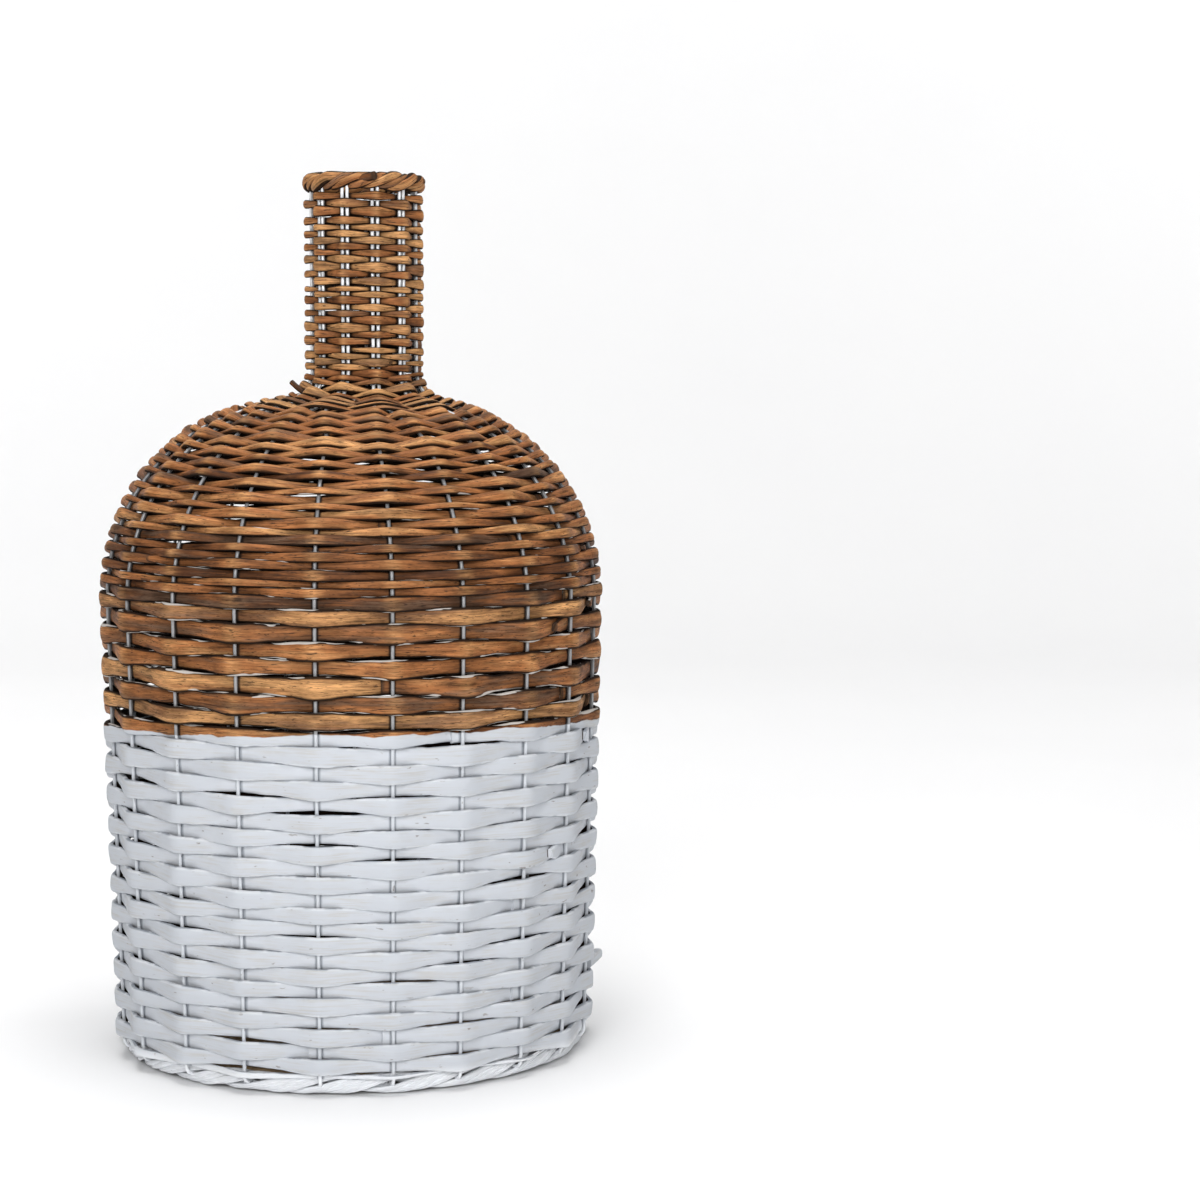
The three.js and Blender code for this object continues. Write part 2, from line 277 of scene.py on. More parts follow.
    def stake_angle(self, k: np.ndarray, s: np.ndarray) -> np.ndarray:
        """Angle of a stake, with the small unevenness of hand work.

        Args:
            k: Numbers of the stakes.
            s: Lengths along the bend line.

        Returns:
            Degrees to the right of the front.
        """
        k = np.asarray(k)
        even = self.first_stake_angle + k * 360 / self.stakes
        even = even + self.unevenness * np.sin(k * 2.4 + 0.6) * np.cos(k * 1.1)
        half = math.degrees(math.asin(self.pair_spacing / 2 / self.neck_radius))
        pair = self.group_angle(k // 2) + np.where(k == self.stakes - 1, 0, np.where(k % 2, half, -half))
        return even + (pair - even) * self.pairing(s)


@dataclass
class RowTable:
    """Rows of weaving between two lengths of the bend line, with a pitch that changes along it."""

    start: float
    end: float
    knots: list[Range]
    lead: float = 4.0
    samples: int = 2001

    def __post_init__(self) -> None:
        """Counts the rows, fits them to the stretch and leads them on past both ends."""
        s = np.linspace(self.start, self.end, self.samples)
        pitch = np.interp((s[1:] + s[:-1]) / 2, *np.array(self.knots).T)
        rows = np.concatenate([[0.0], np.cumsum(np.diff(s) / pitch)])
        self.total = round(rows[-1])
        rows *= self.total / rows[-1]
        low = (s[1] - s[0]) / (rows[1] - rows[0])
        high = (s[-1] - s[-2]) / (rows[-1] - rows[-2])
        self.rows = np.concatenate([[-self.lead], rows, [rows[-1] + self.lead]])
        self.lengths = np.concatenate([[s[0] - self.lead * low], s, [s[-1] + self.lead * high]])

    def length(self, row: np.ndarray) -> np.ndarray:
        """Length along the bend line of a row number."""
        return np.interp(row, self.rows, self.lengths)

    def row(self, s: float) -> float:
        """Row number of a length along the bend line."""
        return float(np.interp(s, self.lengths, self.rows))

    def pitch(self, row: np.ndarray) -> np.ndarray:
        """Height of one row there."""
        return self.length(np.asarray(row) + 0.5) - self.length(np.asarray(row) - 0.5)


@dataclass
class Spine:
    """The middle line of one rod, with its section and its marks at each point, in millimetres."""

    place: np.ndarray
    outward: np.ndarray
    across: np.ndarray
    half_width: np.ndarray
    half_depth: np.ndarray
    tone: float
    bark: float
    offset: float
    fray: float | np.ndarray = 0.0
    hollow: float = 0.0
    shade: float | np.ndarray = 0.13
    crest: float | np.ndarray = 0.0
    dive: float | np.ndarray = 0.0
    crevice: float | np.ndarray = 0.0
    knot_away: float | np.ndarray = 1000.0
    knot_side: float | np.ndarray = 0.0
    knot_reach: float = 12.0
    knot_length: float = 3.2
    cut_length: float = 2.5
    most_knots: int = 40

    @cached_property
    def along(self) -> np.ndarray:
        """Distance of each point from the rod's start."""
        steps = np.linalg.norm(np.diff(self.place, axis=0), axis=1)
        return np.concatenate([[0.0], np.cumsum(steps)])

    @property
    def tip(self) -> np.ndarray:
        """Nearness of each point to a cut end, 1 at the end."""
        return np.exp(-np.minimum(self.along, self.along[-1] - self.along) / self.cut_length)

    def column(self, name: str) -> np.ndarray:
        """One number for each point, whether it changes along the rod or not."""
        return np.full(len(self.place), getattr(self, name), float)

    def add_knots(self, rng: np.random.Generator, spacing: Range) -> np.ndarray:
        """Places knots along the rod.

        Args:
            rng: Seeded random numbers.
            spacing: Least and greatest distance from knot to knot.

        Returns:
            How much of a knot's swelling there is at each point, from 0 to 1.
        """
        marks = np.cumsum(rng.uniform(*spacing, self.most_knots))
        sides = rng.uniform(-0.5, 0.5, self.most_knots)
        away = np.abs(self.along[:, None] - marks[None])
        self.knot_side = sides[away.argmin(1)] * self.half_width
        self.knot_away = np.minimum(away.min(1), self.knot_reach)
        return hump(self.knot_away, self.knot_length)


# Nodes


class Signal:
    """An output socket that can be reckoned with like a number."""

    def __init__(self, sketch: "NodeSketch", socket: bpy.types.NodeSocket) -> None:
        """Keeps the socket and the sketch that it belongs to."""
        self.sketch = sketch
        self.socket = socket

    def __add__(self, other: object) -> "Signal":
        """The sum."""
        return self.sketch.math("ADD", self, other)

    def __sub__(self, other: object) -> "Signal":
        """The difference."""
        return self.sketch.math("SUBTRACT", self, other)

    def __rsub__(self, other: object) -> "Signal":
        """The difference from a number."""
        return self.sketch.math("SUBTRACT", other, self)

    def __mul__(self, other: object) -> "Signal":
        """The product."""
        return self.sketch.math("MULTIPLY", self, other)

    def __truediv__(self, other: object) -> "Signal":
        """The quotient."""
        return self.sketch.math("DIVIDE", self, other)

    def __abs__(self) -> "Signal":
        """The size without its sign."""
        return self.sketch.math("ABSOLUTE", self)


class NodeSketch:
    """Short ways to add nodes and links to a node tree."""

    def __init__(self, tree: bpy.types.NodeTree) -> None:
        """Keeps the tree."""
        self.tree = tree

    def feed(self, socket: bpy.types.NodeSocket, value: object) -> None:
        """Links a socket to a signal, or sets its value.

        Args:
            socket: Input socket.
            value: Signal, number, name, colour or vector.
        """
        if isinstance(value, Signal):
            self.tree.links.new(value.socket, socket)
        elif isinstance(value, tuple) and len(value) < len(socket.default_value):
            socket.default_value = (*value, 1.0)
        else:
            socket.default_value = value

    def add(self, kind: str, inputs: dict, output: str | int = 0, **settings: object) -> Signal:
        """Adds a node.

        Args:
            kind: Type of the node.
            inputs: Values of its input sockets, by name or number.
            output: Name or number of the output socket that is wanted.
            settings: Properties of the node.

        Returns:
            The signal at that output.
        """
        node = self.tree.nodes.new(kind)
        for key, value in settings.items():
            setattr(node, key, value)
        for key, value in inputs.items():
            self.feed(node.inputs[key], value)
        return Signal(self, node.outputs[output])

    def math(self, operation: str, a: object, b: object = 0.0, clamp: bool = False) -> Signal:
        """A Math node, kept between 0 and 1 if wanted."""
        return self.add("ShaderNodeMath", {0: a, 1: b}, operation=operation, use_clamp=clamp)

    def vector(self, operation: str, a: object, b: object) -> Signal:
        """A Vector Math node; for SCALE the second value is a number."""
        second = 3 if operation == "SCALE" else 1
        return self.add("ShaderNodeVectorMath", {0: a, second: b}, operation=operation)

    def noise(self, vector: Signal, scale: Point, detail: float, roughness: float) -> Signal:
        """A Noise Texture with a scale of its own in each direction."""
        inputs = {"Scale": 1.0, "Detail": detail, "Roughness": roughness}
        inputs["Vector"] = self.vector("MULTIPLY", vector, scale)
        return self.add("ShaderNodeTexNoise", inputs, noise_dimensions="3D")

    def step(self, value: Signal, low: float, high: float) -> Signal:
        """A smooth step from 0 at low to 1 at high."""
        inputs = {"Value": value, "From Min": low, "From Max": high}
        return self.add("ShaderNodeMapRange", inputs, interpolation_type="SMOOTHSTEP")

    def mix(self, factor: Signal, a: object, b: object) -> Signal:
        """Mixes two numbers."""
        return self.add("ShaderNodeMix", {0: factor, 2: a, 3: b}, data_type="FLOAT")

    def blend(self, factor: object, a: object, b: object, mode: str = "MIX") -> Signal:
        """Mixes two colours."""
        return self.add("ShaderNodeMix", {0: factor, 6: a, 7: b}, 2, data_type="RGBA", blend_type=mode)

    def layers(self, colour: object, masks: list[tuple[Signal, object]]) -> Signal:
        """Lays colours over one another, each by its mask."""
        for mask, tint in masks:
            colour = self.blend(mask, colour, tint)
        return colour

    def attribute(self, name: str, output: str = "Fac") -> Signal:
        """A shader attribute of the piece's own mesh."""
        return self.add("ShaderNodeAttribute", {}, output, attribute_name=name)

    def object_place(self) -> Signal:
        """Object coordinates."""
        return self.add("ShaderNodeTexCoord", {}, "Object")

    def parts(self, vector: Signal) -> list[Signal]:
        """The three parts of a vector."""
        node = self.tree.nodes.new("ShaderNodeSeparateXYZ")
        self.feed(node.inputs[0], vector)
        return [Signal(self, socket) for socket in node.outputs]

    def stored(self, name: str, kind: str = "FLOAT") -> Signal:
        """A named attribute inside a Geometry Nodes tree."""
        return self.add("GeometryNodeInputNamedAttribute", {"Name": name}, "Attribute", data_type=kind)

    def store(self, geometry: Signal, name: str, value: Signal, kind: str = "FLOAT") -> Signal:
        """The geometry with a value stored on its points."""
        inputs = {"Geometry": geometry, "Name": name, "Value": value}
        settings = {"data_type": kind, "domain": "POINT"}
        return self.add("GeometryNodeStoreNamedAttribute", inputs, "Geometry", **settings)


@dataclass
class RodSweep:
    """Geometry Nodes tree that sweeps a rounded section along spines, and makes plain meshes with it."""

    name: str = "rod_sweep"
    lump_scale: Point = (55.0, 190.0, 190.0)
    tree: bpy.types.NodeTree | None = None
    sockets: dict[str, str] = field(default_factory=dict)

    INPUTS = {
        "Spines": "Geometry",
        "Sides": "Int",
        "Inner Depth": "Float",
        "Squareness": "Float",
        "Relief": "Float",
        "Seed": "Float",
        "Finish": "Material",
    }
    VECTORS = {"spine_place": "place", "spine_out": "outward", "spine_across": "across"}
    LENGTHS = ("half_width", "half_depth", "knot_away", "knot_side")
    MARKS = ("tone", "bark", "fray", "hollow", "shade", "crest", "dive", "crevice", "tip")
    SPARE = (*VECTORS, "half_width", "half_depth", "along", "turn")

    def build(self) -> "RodSweep":
        """Makes the tree once.

        Returns:
            The sweep itself.
        """
        self.tree = bpy.data.node_groups.new(self.name, "GeometryNodeTree")
        for label, kind in self.INPUTS.items():
            item = self.tree.interface.new_socket(label, in_out="INPUT", socket_type="NodeSocket" + kind)
            self.sockets[label] = item.identifier
        self.tree.interface.new_socket("Rods", in_out="OUTPUT", socket_type="NodeSocketGeometry")
        n = NodeSketch(self.tree)
        source = self.tree.nodes.new("NodeGroupInput")
        given = {label: Signal(n, source.outputs[label]) for label in self.INPUTS}
        circle = {"Resolution": given["Sides"], "Radius": 1.0}
        profile = n.add("GeometryNodeCurvePrimitiveCircle", circle, "Curve", mode="RADIUS")
        turn = n.add("GeometryNodeSplineParameter", {}, "Factor") * math.tau
        profile = n.store(profile, "turn", turn)
        chain = n.add("GeometryNodeMeshToCurve", {"Mesh": given["Spines"]}, "Curve")
        swept = {"Curve": chain, "Profile Curve": profile, "Fill Caps": True}
        rods = n.add("GeometryNodeCurveToMesh", swept, "Mesh")

        def shaped(value: Signal) -> Signal:
            """Squares the circle off a little."""
            return n.math("POWER", abs(value), given["Squareness"]) * n.math("SIGN", value)

        angle = n.stored("turn")
        x, y = shaped(n.math("COSINE", angle)), shaped(n.math("SINE", angle))
        y = n.math("MAXIMUM", y, 0.0) + n.math("MINIMUM", y * given["Inner Depth"], 0.0)
        side, depth = x * n.stored("half_width"), y * n.stored("half_depth")
        grain = n.add("ShaderNodeCombineXYZ", {0: n.stored("along"), 1: side, 2: depth})
        lump = {"Vector": n.vector("MULTIPLY", grain, self.lump_scale), "W": given["Seed"]}
        lump |= {"Scale": 1.0, "Detail": 3.0}
        swell = (n.add("ShaderNodeTexNoise", lump, noise_dimensions="4D") - 0.5) * given["Relief"]
        place = n.stored("spine_place", "FLOAT_VECTOR")
        for direction, size in (("spine_across", side + swell * x), ("spine_out", depth + swell * y)):
            shift = n.vector("SCALE", n.stored(direction, "FLOAT_VECTOR"), size)
            place = n.vector("ADD", place, shift)
        rods = n.add("GeometryNodeSetPosition", {"Geometry": rods, "Position": place}, "Geometry")
        rods = n.store(rods, "grain", grain, "FLOAT_VECTOR")
        rods = n.store(rods, "edge", abs(x))
        rods = n.store(rods, "face", y)
        corners = n.add("GeometryNodeInputMeshFaceNeighbors", {}, "Vertex Count")
        wall = n.add("FunctionNodeCompare", {2: corners, 3: 4}, data_type="INT", operation="LESS_EQUAL")
        smooth = {"Geometry": rods, "Shade Smooth": wall}
        rods = n.add("GeometryNodeSetShadeSmooth", smooth, "Geometry", domain="FACE")
        rods = n.add("GeometryNodeRealizeInstances", {"Geometry": rods}, "Geometry")
        finish = {"Geometry": rods, "Material": given["Finish"]}
        rods = n.add("GeometryNodeSetMaterial", finish, "Geometry")
        n.feed(self.tree.nodes.new("NodeGroupOutput").inputs["Rods"], rods)
        return self

    def spine_mesh(self, name: str, spines: list[Spine]) -> bpy.types.Mesh:
        """Writes spines as edge chains with their sections and marks as attributes, in metres.

        Args:
            name: Name of the mesh.
            spines: Rods of one piece.

        Returns:
            The mesh of chains.
        """
        mesh = bpy.data.meshes.new(name)
        edges, base = [], 0
        for spine in spines:
            count = len(spine.place)
            edges += [(base + i, base + i + 1) for i in range(count - 1)]
            base += count
        vectors = {
            key: np.concatenate([getattr(spine, column) for spine in spines])
            for key, column in self.VECTORS.items()
        }
        vectors["spine_place"] *= MM
        mesh.from_pydata(vectors["spine_place"].tolist(), edges, [])
        numbers = {key: [spine.column(key) * MM for spine in spines] for key in self.LENGTHS}
        numbers |= {key: [spine.column(key) for spine in spines] for key in self.MARKS}
        numbers["along"] = [spine.along * MM + spine.offset for spine in spines]
        for key, value in vectors.items():
            mesh.attributes.new(key, "FLOAT_VECTOR", "POINT").data.foreach_set("vector", value.ravel())
        for key, columns in numbers.items():
            mesh.attributes.new(key, "FLOAT", "POINT").data.foreach_set("value", np.concatenate(columns))
        return mesh

    def piece(
        self,
        name: str,
        spines: list[Spine],
        finish: bpy.types.Material,
        sides: int,
        inner_depth: float = 1.0,
        squareness: float = 1.0,
        relief: float = 0.0,
        seed: float = 0.0,
    ) -> bpy.types.Object:
        """Makes one piece from spines.

        Args:
            name: Name of the piece.
            spines: Rods of the piece.
            finish: Its material.
            sides: Points round the section.
            inner_depth: Depth of the inner side of the section as a share of the outer side.
            squareness: Exponent of the section, 1 for an ellipse and less for a squarer one.
            relief: Height of the lumps of the surface, in metres.
            seed: Seed of the lumps.

        Returns:
            The object, with a plain mesh.
        """
        chain = self.spine_mesh(name + "_spines", spines)
        maker = put_in_scene(name + "_maker", chain)
        swept = maker.modifiers.new("sweep", "NODES")
        swept.node_group = self.tree
        values = {
            "Sides": sides,
            "Inner Depth": inner_depth,
            "Squareness": squareness,
            "Relief": relief,
            "Seed": seed,
            "Finish": finish,
        }
        for label, value in values.items():
            swept[self.sockets[label]] = value
        depsgraph = bpy.context.evaluated_depsgraph_get()
        mesh = bpy.data.meshes.new_from_object(
            maker.evaluated_get(depsgraph), preserve_all_data_layers=True, depsgraph=depsgraph
        )
        maker.modifiers.remove(swept)
        bpy.data.objects.remove(maker)
        bpy.data.meshes.remove(chain)
        for spare in self.SPARE:
            found = mesh.attributes.get(spare)
            if found is not None:
                mesh.attributes.remove(found)
        mesh.name = name
        bm = bmesh.new()
        bm.from_mesh(mesh)
        bmesh.ops.recalc_face_normals(bm, faces=bm.faces)
        bm.to_mesh(mesh)
        bm.free()
        return put_in_scene(name, mesh)


# Finishes


class ShaderGroups:
    """Shader node groups that more than one finish uses."""

    WILLOW_NOISES = {
        "streak": ((26.0, 620.0, 620.0), 5.0, 0.62),
        "fibre": ((75.0, 1250.0, 1250.0), 3.0, 0.62),
        "mottle": ((60.0, 240.0, 240.0), 4.0, 0.65),
        "patch": ((16.0, 150.0, 150.0), 4.0, 0.6),
        "fleck": ((230.0, 900.0, 900.0), 2.0, 0.5),
        "scar": ((150.0, 260.0, 260.0), 2.0, 0.5),
        "thread": ((20.0, 520.0, 520.0), 3.0, 0.55),
        "tear": ((34.0, 260.0, 0.0), 2.0, 0.5),
    }
    PAINT_NOISES = {
        "brush": ((28.0, 760.0, 760.0), 4.0, 0.62),
        "pit": ((130.0, 330.0, 330.0), 2.0, 0.5),
        "bridge": ((60.0, 40.0, 40.0), 2.0, 0.5),
    }
    PAINT_CLOUD = ((38.0, 38.0, 60.0), 3.0, 0.6)
    PAINT_WANDER = ((28.0, 28.0, 28.0), 3.0, 0.6)
    KNOT_LENGTH = 0.0027
    KNOT_WIDTH = 0.0017
    BODY_RADIUS = 0.175

    def __init__(self) -> None:
        """Builds each group once."""
        self.figure = self.willow_figure_and_painted_light()
        self.paint = self.white_paint_and_painted_light()

    @staticmethod
    def start(
        name: str, inputs: dict[str, object], outputs: dict[str, str]
    ) -> tuple[NodeSketch, dict[str, Signal], bpy.types.NodeInputs]:
        """Makes an empty group.

        Args:
            name: Name of the group.
            inputs: Names and default values.
            outputs: Names and kinds of socket.

        Returns:
            The sketch, the signals of the group's inputs and its output sockets.
        """
        tree = bpy.data.node_groups.new(name, "ShaderNodeTree")
        for label, value in inputs.items():
            kind = "NodeSocketColor" if isinstance(value, tuple) else "NodeSocketFloat"
            item = tree.interface.new_socket(label, in_out="INPUT", socket_type=kind)
            item.default_value = (*value, 1.0) if isinstance(value, tuple) else value
        for label, kind in outputs.items():
            tree.interface.new_socket(label, in_out="OUTPUT", socket_type="NodeSocket" + kind)
        n = NodeSketch(tree)
        source = tree.nodes.new("NodeGroupInput")
        given = {label: Signal(n, source.outputs[label]) for label in inputs}
        return n, given, tree.nodes.new("NodeGroupOutput").inputs

    def willow_figure_and_painted_light(self) -> bpy.types.NodeTree:
        """Grain, bark, knots and pale split edges of willow, laid along each rod, with edges and tucked parts
        darkened partly by dirt and partly by painted shade, painted shade beside the wires and on the inner
        faces, and a painted highlight at the crests.

        Returns:
            The group.
        """
        inputs = {
            "Light": (0.5, 0.3, 0.15),
            "Middle": (0.3, 0.15, 0.07),
            "Dark": (0.2, 0.09, 0.04),
            "Bark": (0.1, 0.07, 0.05),
            "Pale": (0.6, 0.55, 0.5),
            "Fleck": (0.03, 0.018, 0.012),
            "Knot": (0.02, 0.012, 0.008),
            # painted shade, partly dirt, along the rods' edges where they meet their neighbours
            "Grime": (0.01, 0.006, 0.004),
            # painted shade, partly dirt, where the rods dive behind the wires
            "Behind": (0.03, 0.016, 0.009),
            # painted shade in the crevices beside the wires
            "Crevice": (0.012, 0.008, 0.006),
            # painted shade on the rods' inner faces, for the dark inside of the vase
            "Inside": (0.014, 0.008, 0.005),
            "Cut": (0.045, 0.028, 0.018),
            "Streaks": 0.6,
            "Pale Edge": 0.5,
        }
        outputs = {"Color": "Color", "Roughness": "Float", "Height": "Float"}
        n, given, result = self.start("willow_figure_and_painted_light", inputs, outputs)
        grain = n.attribute("grain", "Vector")
        noises = {name: n.noise(grain, *values) for name, values in self.WILLOW_NOISES.items()}
        streak, fibre, mottle, patch = (noises[name] for name in ("streak", "fibre", "mottle", "patch"))
        edge, face, fray = (n.attribute(name) for name in ("edge", "face", "fray"))
        tone = n.math("ADD", n.attribute("tone"), (patch - 0.5) * 1.6, clamp=True)
        bark = n.step(n.attribute("bark") * 0.16 + patch, 0.58, 0.74) * n.step(streak, 0.25, 0.6)
        willow_and_painted_light = [
            (n.step(tone, 0.0, 0.55), given["Middle"]),
            (n.step(tone, 0.5, 1.0), given["Dark"]),
            (n.step(streak, 0.52, 0.63) * given["Streaks"], given["Dark"]),
            # painted highlight: the rods lighter at the crest where they bend over a wire
            (n.attribute("crest") * n.step(fibre, 0.2, 0.75) * 0.7, given["Light"]),
            (bark * 0.6, given["Bark"]),
        ]
        light = n.math("MAXIMUM", (streak + mottle) * 2.6 - 1.6, 0.25)
        grey = n.add("ShaderNodeCombineColor", {0: light, 1: light, 2: light})
        colour = n.blend(1.0, n.layers(given["Light"], willow_and_painted_light), grey, "MULTIPLY")
        hairline = 1.0 - n.step(abs(noises["thread"] - 0.5), 0.006, 0.022)
        hairline = hairline * n.step(mottle, 0.42, 0.56)
        run = n.attribute("knot_away") / self.KNOT_LENGTH
        aside = (n.parts(grain)[1] - n.attribute("knot_side")) / self.KNOT_WIDTH
        ring = n.math("SQRT", run * run + aside * aside) + (noises["scar"] - 0.5) * 4.4
        knot = n.step(ring, 1.2, 0.5) * n.step(patch, 0.42, 0.56)
        # painted shade, partly dirt, darkening each rod towards its edges
        edge_dirt_and_shade = n.step(edge + n.attribute("shade"), 0.77, 0.97) * 0.96
        reach = edge + (noises["tear"] - 0.5) * 1.7 - (1.0 - fray) * 0.36
        sliver = n.step(reach, 1.0, 1.05) * n.step(face, -0.2, 0.15)
        marks = [
            (n.math("MAXIMUM", n.step(noises["fleck"], 0.635, 0.7) * 0.75, hairline * 0.9), given["Fleck"]),
            (knot * 0.75, given["Knot"]),
            # painted shade, partly dirt, along the rod edges
            (edge_dirt_and_shade, given["Grime"]),
            (sliver * (n.step(fray, 0.0, 0.1) * given["Pale Edge"]), given["Pale"]),
            # painted shade, partly dirt, on the tucked parts behind the wires
            (n.attribute("dive") * n.mix(n.step(mottle, 0.46, 0.58), 0.0, 0.4), given["Behind"]),
            # painted shade next to the wires
            (n.step(n.attribute("crevice"), 0.3, 0.65) * 0.9, given["Crevice"]),
            # painted shade on the inner faces
            (n.step(face, -0.1, -0.5) * n.attribute("hollow") * 0.9, given["Inside"]),
            (n.step(n.attribute("tip"), 0.3, 0.9) * 0.8, given["Cut"]),
        ]
        rough = (streak + bark) * 0.2 + 0.48
        n.feed(result["Color"], n.layers(colour, marks))
        n.feed(result["Roughness"], n.math("MAXIMUM", rough, edge_dirt_and_shade * 0.95))
        n.feed(result["Height"], streak * 0.7 + fibre * 0.35 - bark * 0.25)
        return n.tree

    def white_paint_and_painted_light(self) -> bpy.types.NodeTree:
        """White paint below a hand-drawn line round the body, with its mask and brush marks, painted shade in
        the seams and beside the wires, painted light on the tucked places and the foot, and thick paint with a
        painted highlight on the edges.

        Returns:
            The group.
        """
        inputs = {
            "Line": 0.2300,
            "Front Rise": 0.010,
            "Tilt": 0.006,
            "Paint": (0.53, 0.555, 0.595),
            "Worn": (0.49, 0.485, 0.475),
            # painted light: a lighter white where the rods tuck behind the wires, lifting their real shade
            "Tucked": (0.76, 0.79, 0.84),
            # painted light: a lighter white on the foot, for light thrown up from the floor
            "Foot": (0.91, 0.93, 0.96),
            # thick paint on the rod edges, partly a painted highlight
            "Ridge": (0.69, 0.705, 0.735),
            # painted shade: blue-grey lines in the seams between the rods and beside the wires
            "Seam": (0.14, 0.165, 0.205),
            "Aged": (0.6, 0.54, 0.38),
            "Pit": (0.2, 0.17, 0.15),
        }
        outputs = {"Mask": "Float", "Color": "Color", "Height": "Float"}
        n, given, result = self.start("white_paint_and_painted_light", inputs, outputs)
        place, grain = n.object_place(), n.attribute("grain", "Vector")
        x, y, z = n.parts(place)
        edge, hollow = n.attribute("edge"), n.attribute("hollow")
        wander, cloud = n.noise(place, *self.PAINT_WANDER), n.noise(place, *self.PAINT_CLOUD)
        brush, pit, bridge = (n.noise(grain, *values) for values in self.PAINT_NOISES.values())
        front = n.math("MAXIMUM", y * (-1.0 / self.BODY_RADIUS), 0.0)
        line = given["Line"] + front * given["Front Rise"] + x * given["Tilt"] + (wander - 0.5) * 0.008
        below = n.step(line - z, -0.0004, 0.0004)
        bare = n.step(n.attribute("face"), -0.4, -0.6) * hollow
        # painted shade in the seams along the rod edges, broken where the paint bridges them
        seam_shade = n.step(edge, 0.88, 0.99) * n.step(bridge, 0.42, 0.52) * n.mix(hollow, 0.15, 0.6)
        # painted shade beside the wires
        crevice = n.step(n.attribute("crevice"), 0.3, 0.65) * 0.55
        marks = [
            (n.step(brush, 0.44, 0.64) * n.step(cloud, 0.36, 0.62) * 0.85, given["Worn"]),
            (n.step(z, 0.017, 0.008) * n.step(cloud, 0.5, 0.66) * 0.45, given["Aged"]),
            (n.step(pit, 0.7, 0.76) * 0.7, given["Pit"]),
            # painted light on the tucked places
            (n.attribute("dive") * 0.6, given["Tucked"]),
            # painted light on the foot
            (n.step(z, 0.02, 0.01) * 0.85, given["Foot"]),
            # thick paint with a painted highlight on the edges
            (n.step(edge, 0.7, 0.9) * n.step(bridge, 0.56, 0.44) * 0.6, given["Ridge"]),
            # painted shade in the seams and beside the wires
            (n.math("MAXIMUM", seam_shade, crevice), given["Seam"]),
        ]
        n.feed(result["Mask"], n.math("SUBTRACT", below, bare, clamp=True))
        n.feed(result["Color"], n.layers(given["Paint"], marks))
        n.feed(result["Height"], brush * 0.6 + cloud * 0.4)
        return n.tree


@dataclass(frozen=True)
class Finish:
    """Common part of every finish: a named material with one Principled shader."""

    name: str

    def open(self) -> tuple[bpy.types.Material, NodeSketch]:
        """Makes the material and a sketch of its tree."""
        material = bpy.data.materials.new(self.name)
        material.use_nodes = True
        return material, NodeSketch(material.node_tree)

    def place(self, n: NodeSketch, group: bpy.types.NodeTree, values: dict[str, object]) -> dict[str, Signal]:
        """Places a shared group with values of its own.

        Args:
            n: Sketch of the material's tree.
            group: Shared shader group.
            values: Values of its inputs.

        Returns:
            The signals at its outputs.
        """
        node = n.tree.nodes.new("ShaderNodeGroup")
        node.node_tree = group
        for label, value in values.items():
            n.feed(node.inputs[label], value)
        return {socket.name: Signal(n, socket) for socket in node.outputs}

    def surface(self, n: NodeSketch, **inputs: object) -> None:
        """Feeds the Principled shader; the words of an input's name are joined by low lines."""
        shader = n.tree.nodes["Principled BSDF"]
        for label, value in inputs.items():
            n.feed(shader.inputs[label.replace("_", " ")], value)

    def bump(self, n: NodeSketch, height: Signal, distance: float, strength: float) -> Signal:
        """A normal from a height, with the relief's depth in metres and its strength."""
        return n.add("ShaderNodeBump", {"Height": height, "Distance": distance, "Strength": strength})


@dataclass(frozen=True)
class WillowFinish(Finish):
    """Natural willow, or willow with the white paint over it below the line."""

    light: Colour = (0.54, 0.282, 0.114)
    middle: Colour = (0.305, 0.117, 0.04)
    dark: Colour = (0.08, 0.03, 0.012)
    bark: Colour = (0.11, 0.074, 0.05)
    pale: Colour = (0.6, 0.56, 0.52)
    streaks: float = 0.65
    pale_edge: float = 0.85
    gloss: float = 0.12
    paint_roughness: float = 0.65
    painted: bool = False

    def material(self, groups: ShaderGroups) -> bpy.types.Material:
        """Builds the material.

        Args:
            groups: Shared shader groups.

        Returns:
            The material.
        """
        material, n = self.open()
        values = {
            "Light": self.light,
            "Middle": self.middle,
            "Dark": self.dark,
            "Bark": self.bark,
            "Pale": self.pale,
            "Streaks": self.streaks,
            "Pale Edge": self.pale_edge,
        }
        willow_and_painted_light = self.place(n, groups.figure, values)
        colour, rough, height = willow_and_painted_light["Color"], willow_and_painted_light["Roughness"], willow_and_painted_light["Height"]
        if self.painted:
            coat = self.place(n, groups.paint, {})
            colour = n.blend(coat["Mask"], colour, coat["Color"])
            rough = n.mix(coat["Mask"], rough, self.paint_roughness)
            height = n.mix(coat["Mask"], height, coat["Height"])
        normal = self.bump(n, height, 0.0006, 0.55)
        self.surface(n, Base_Color=colour, Roughness=rough, Normal=normal, Specular_IOR_Level=self.gloss)
        return material


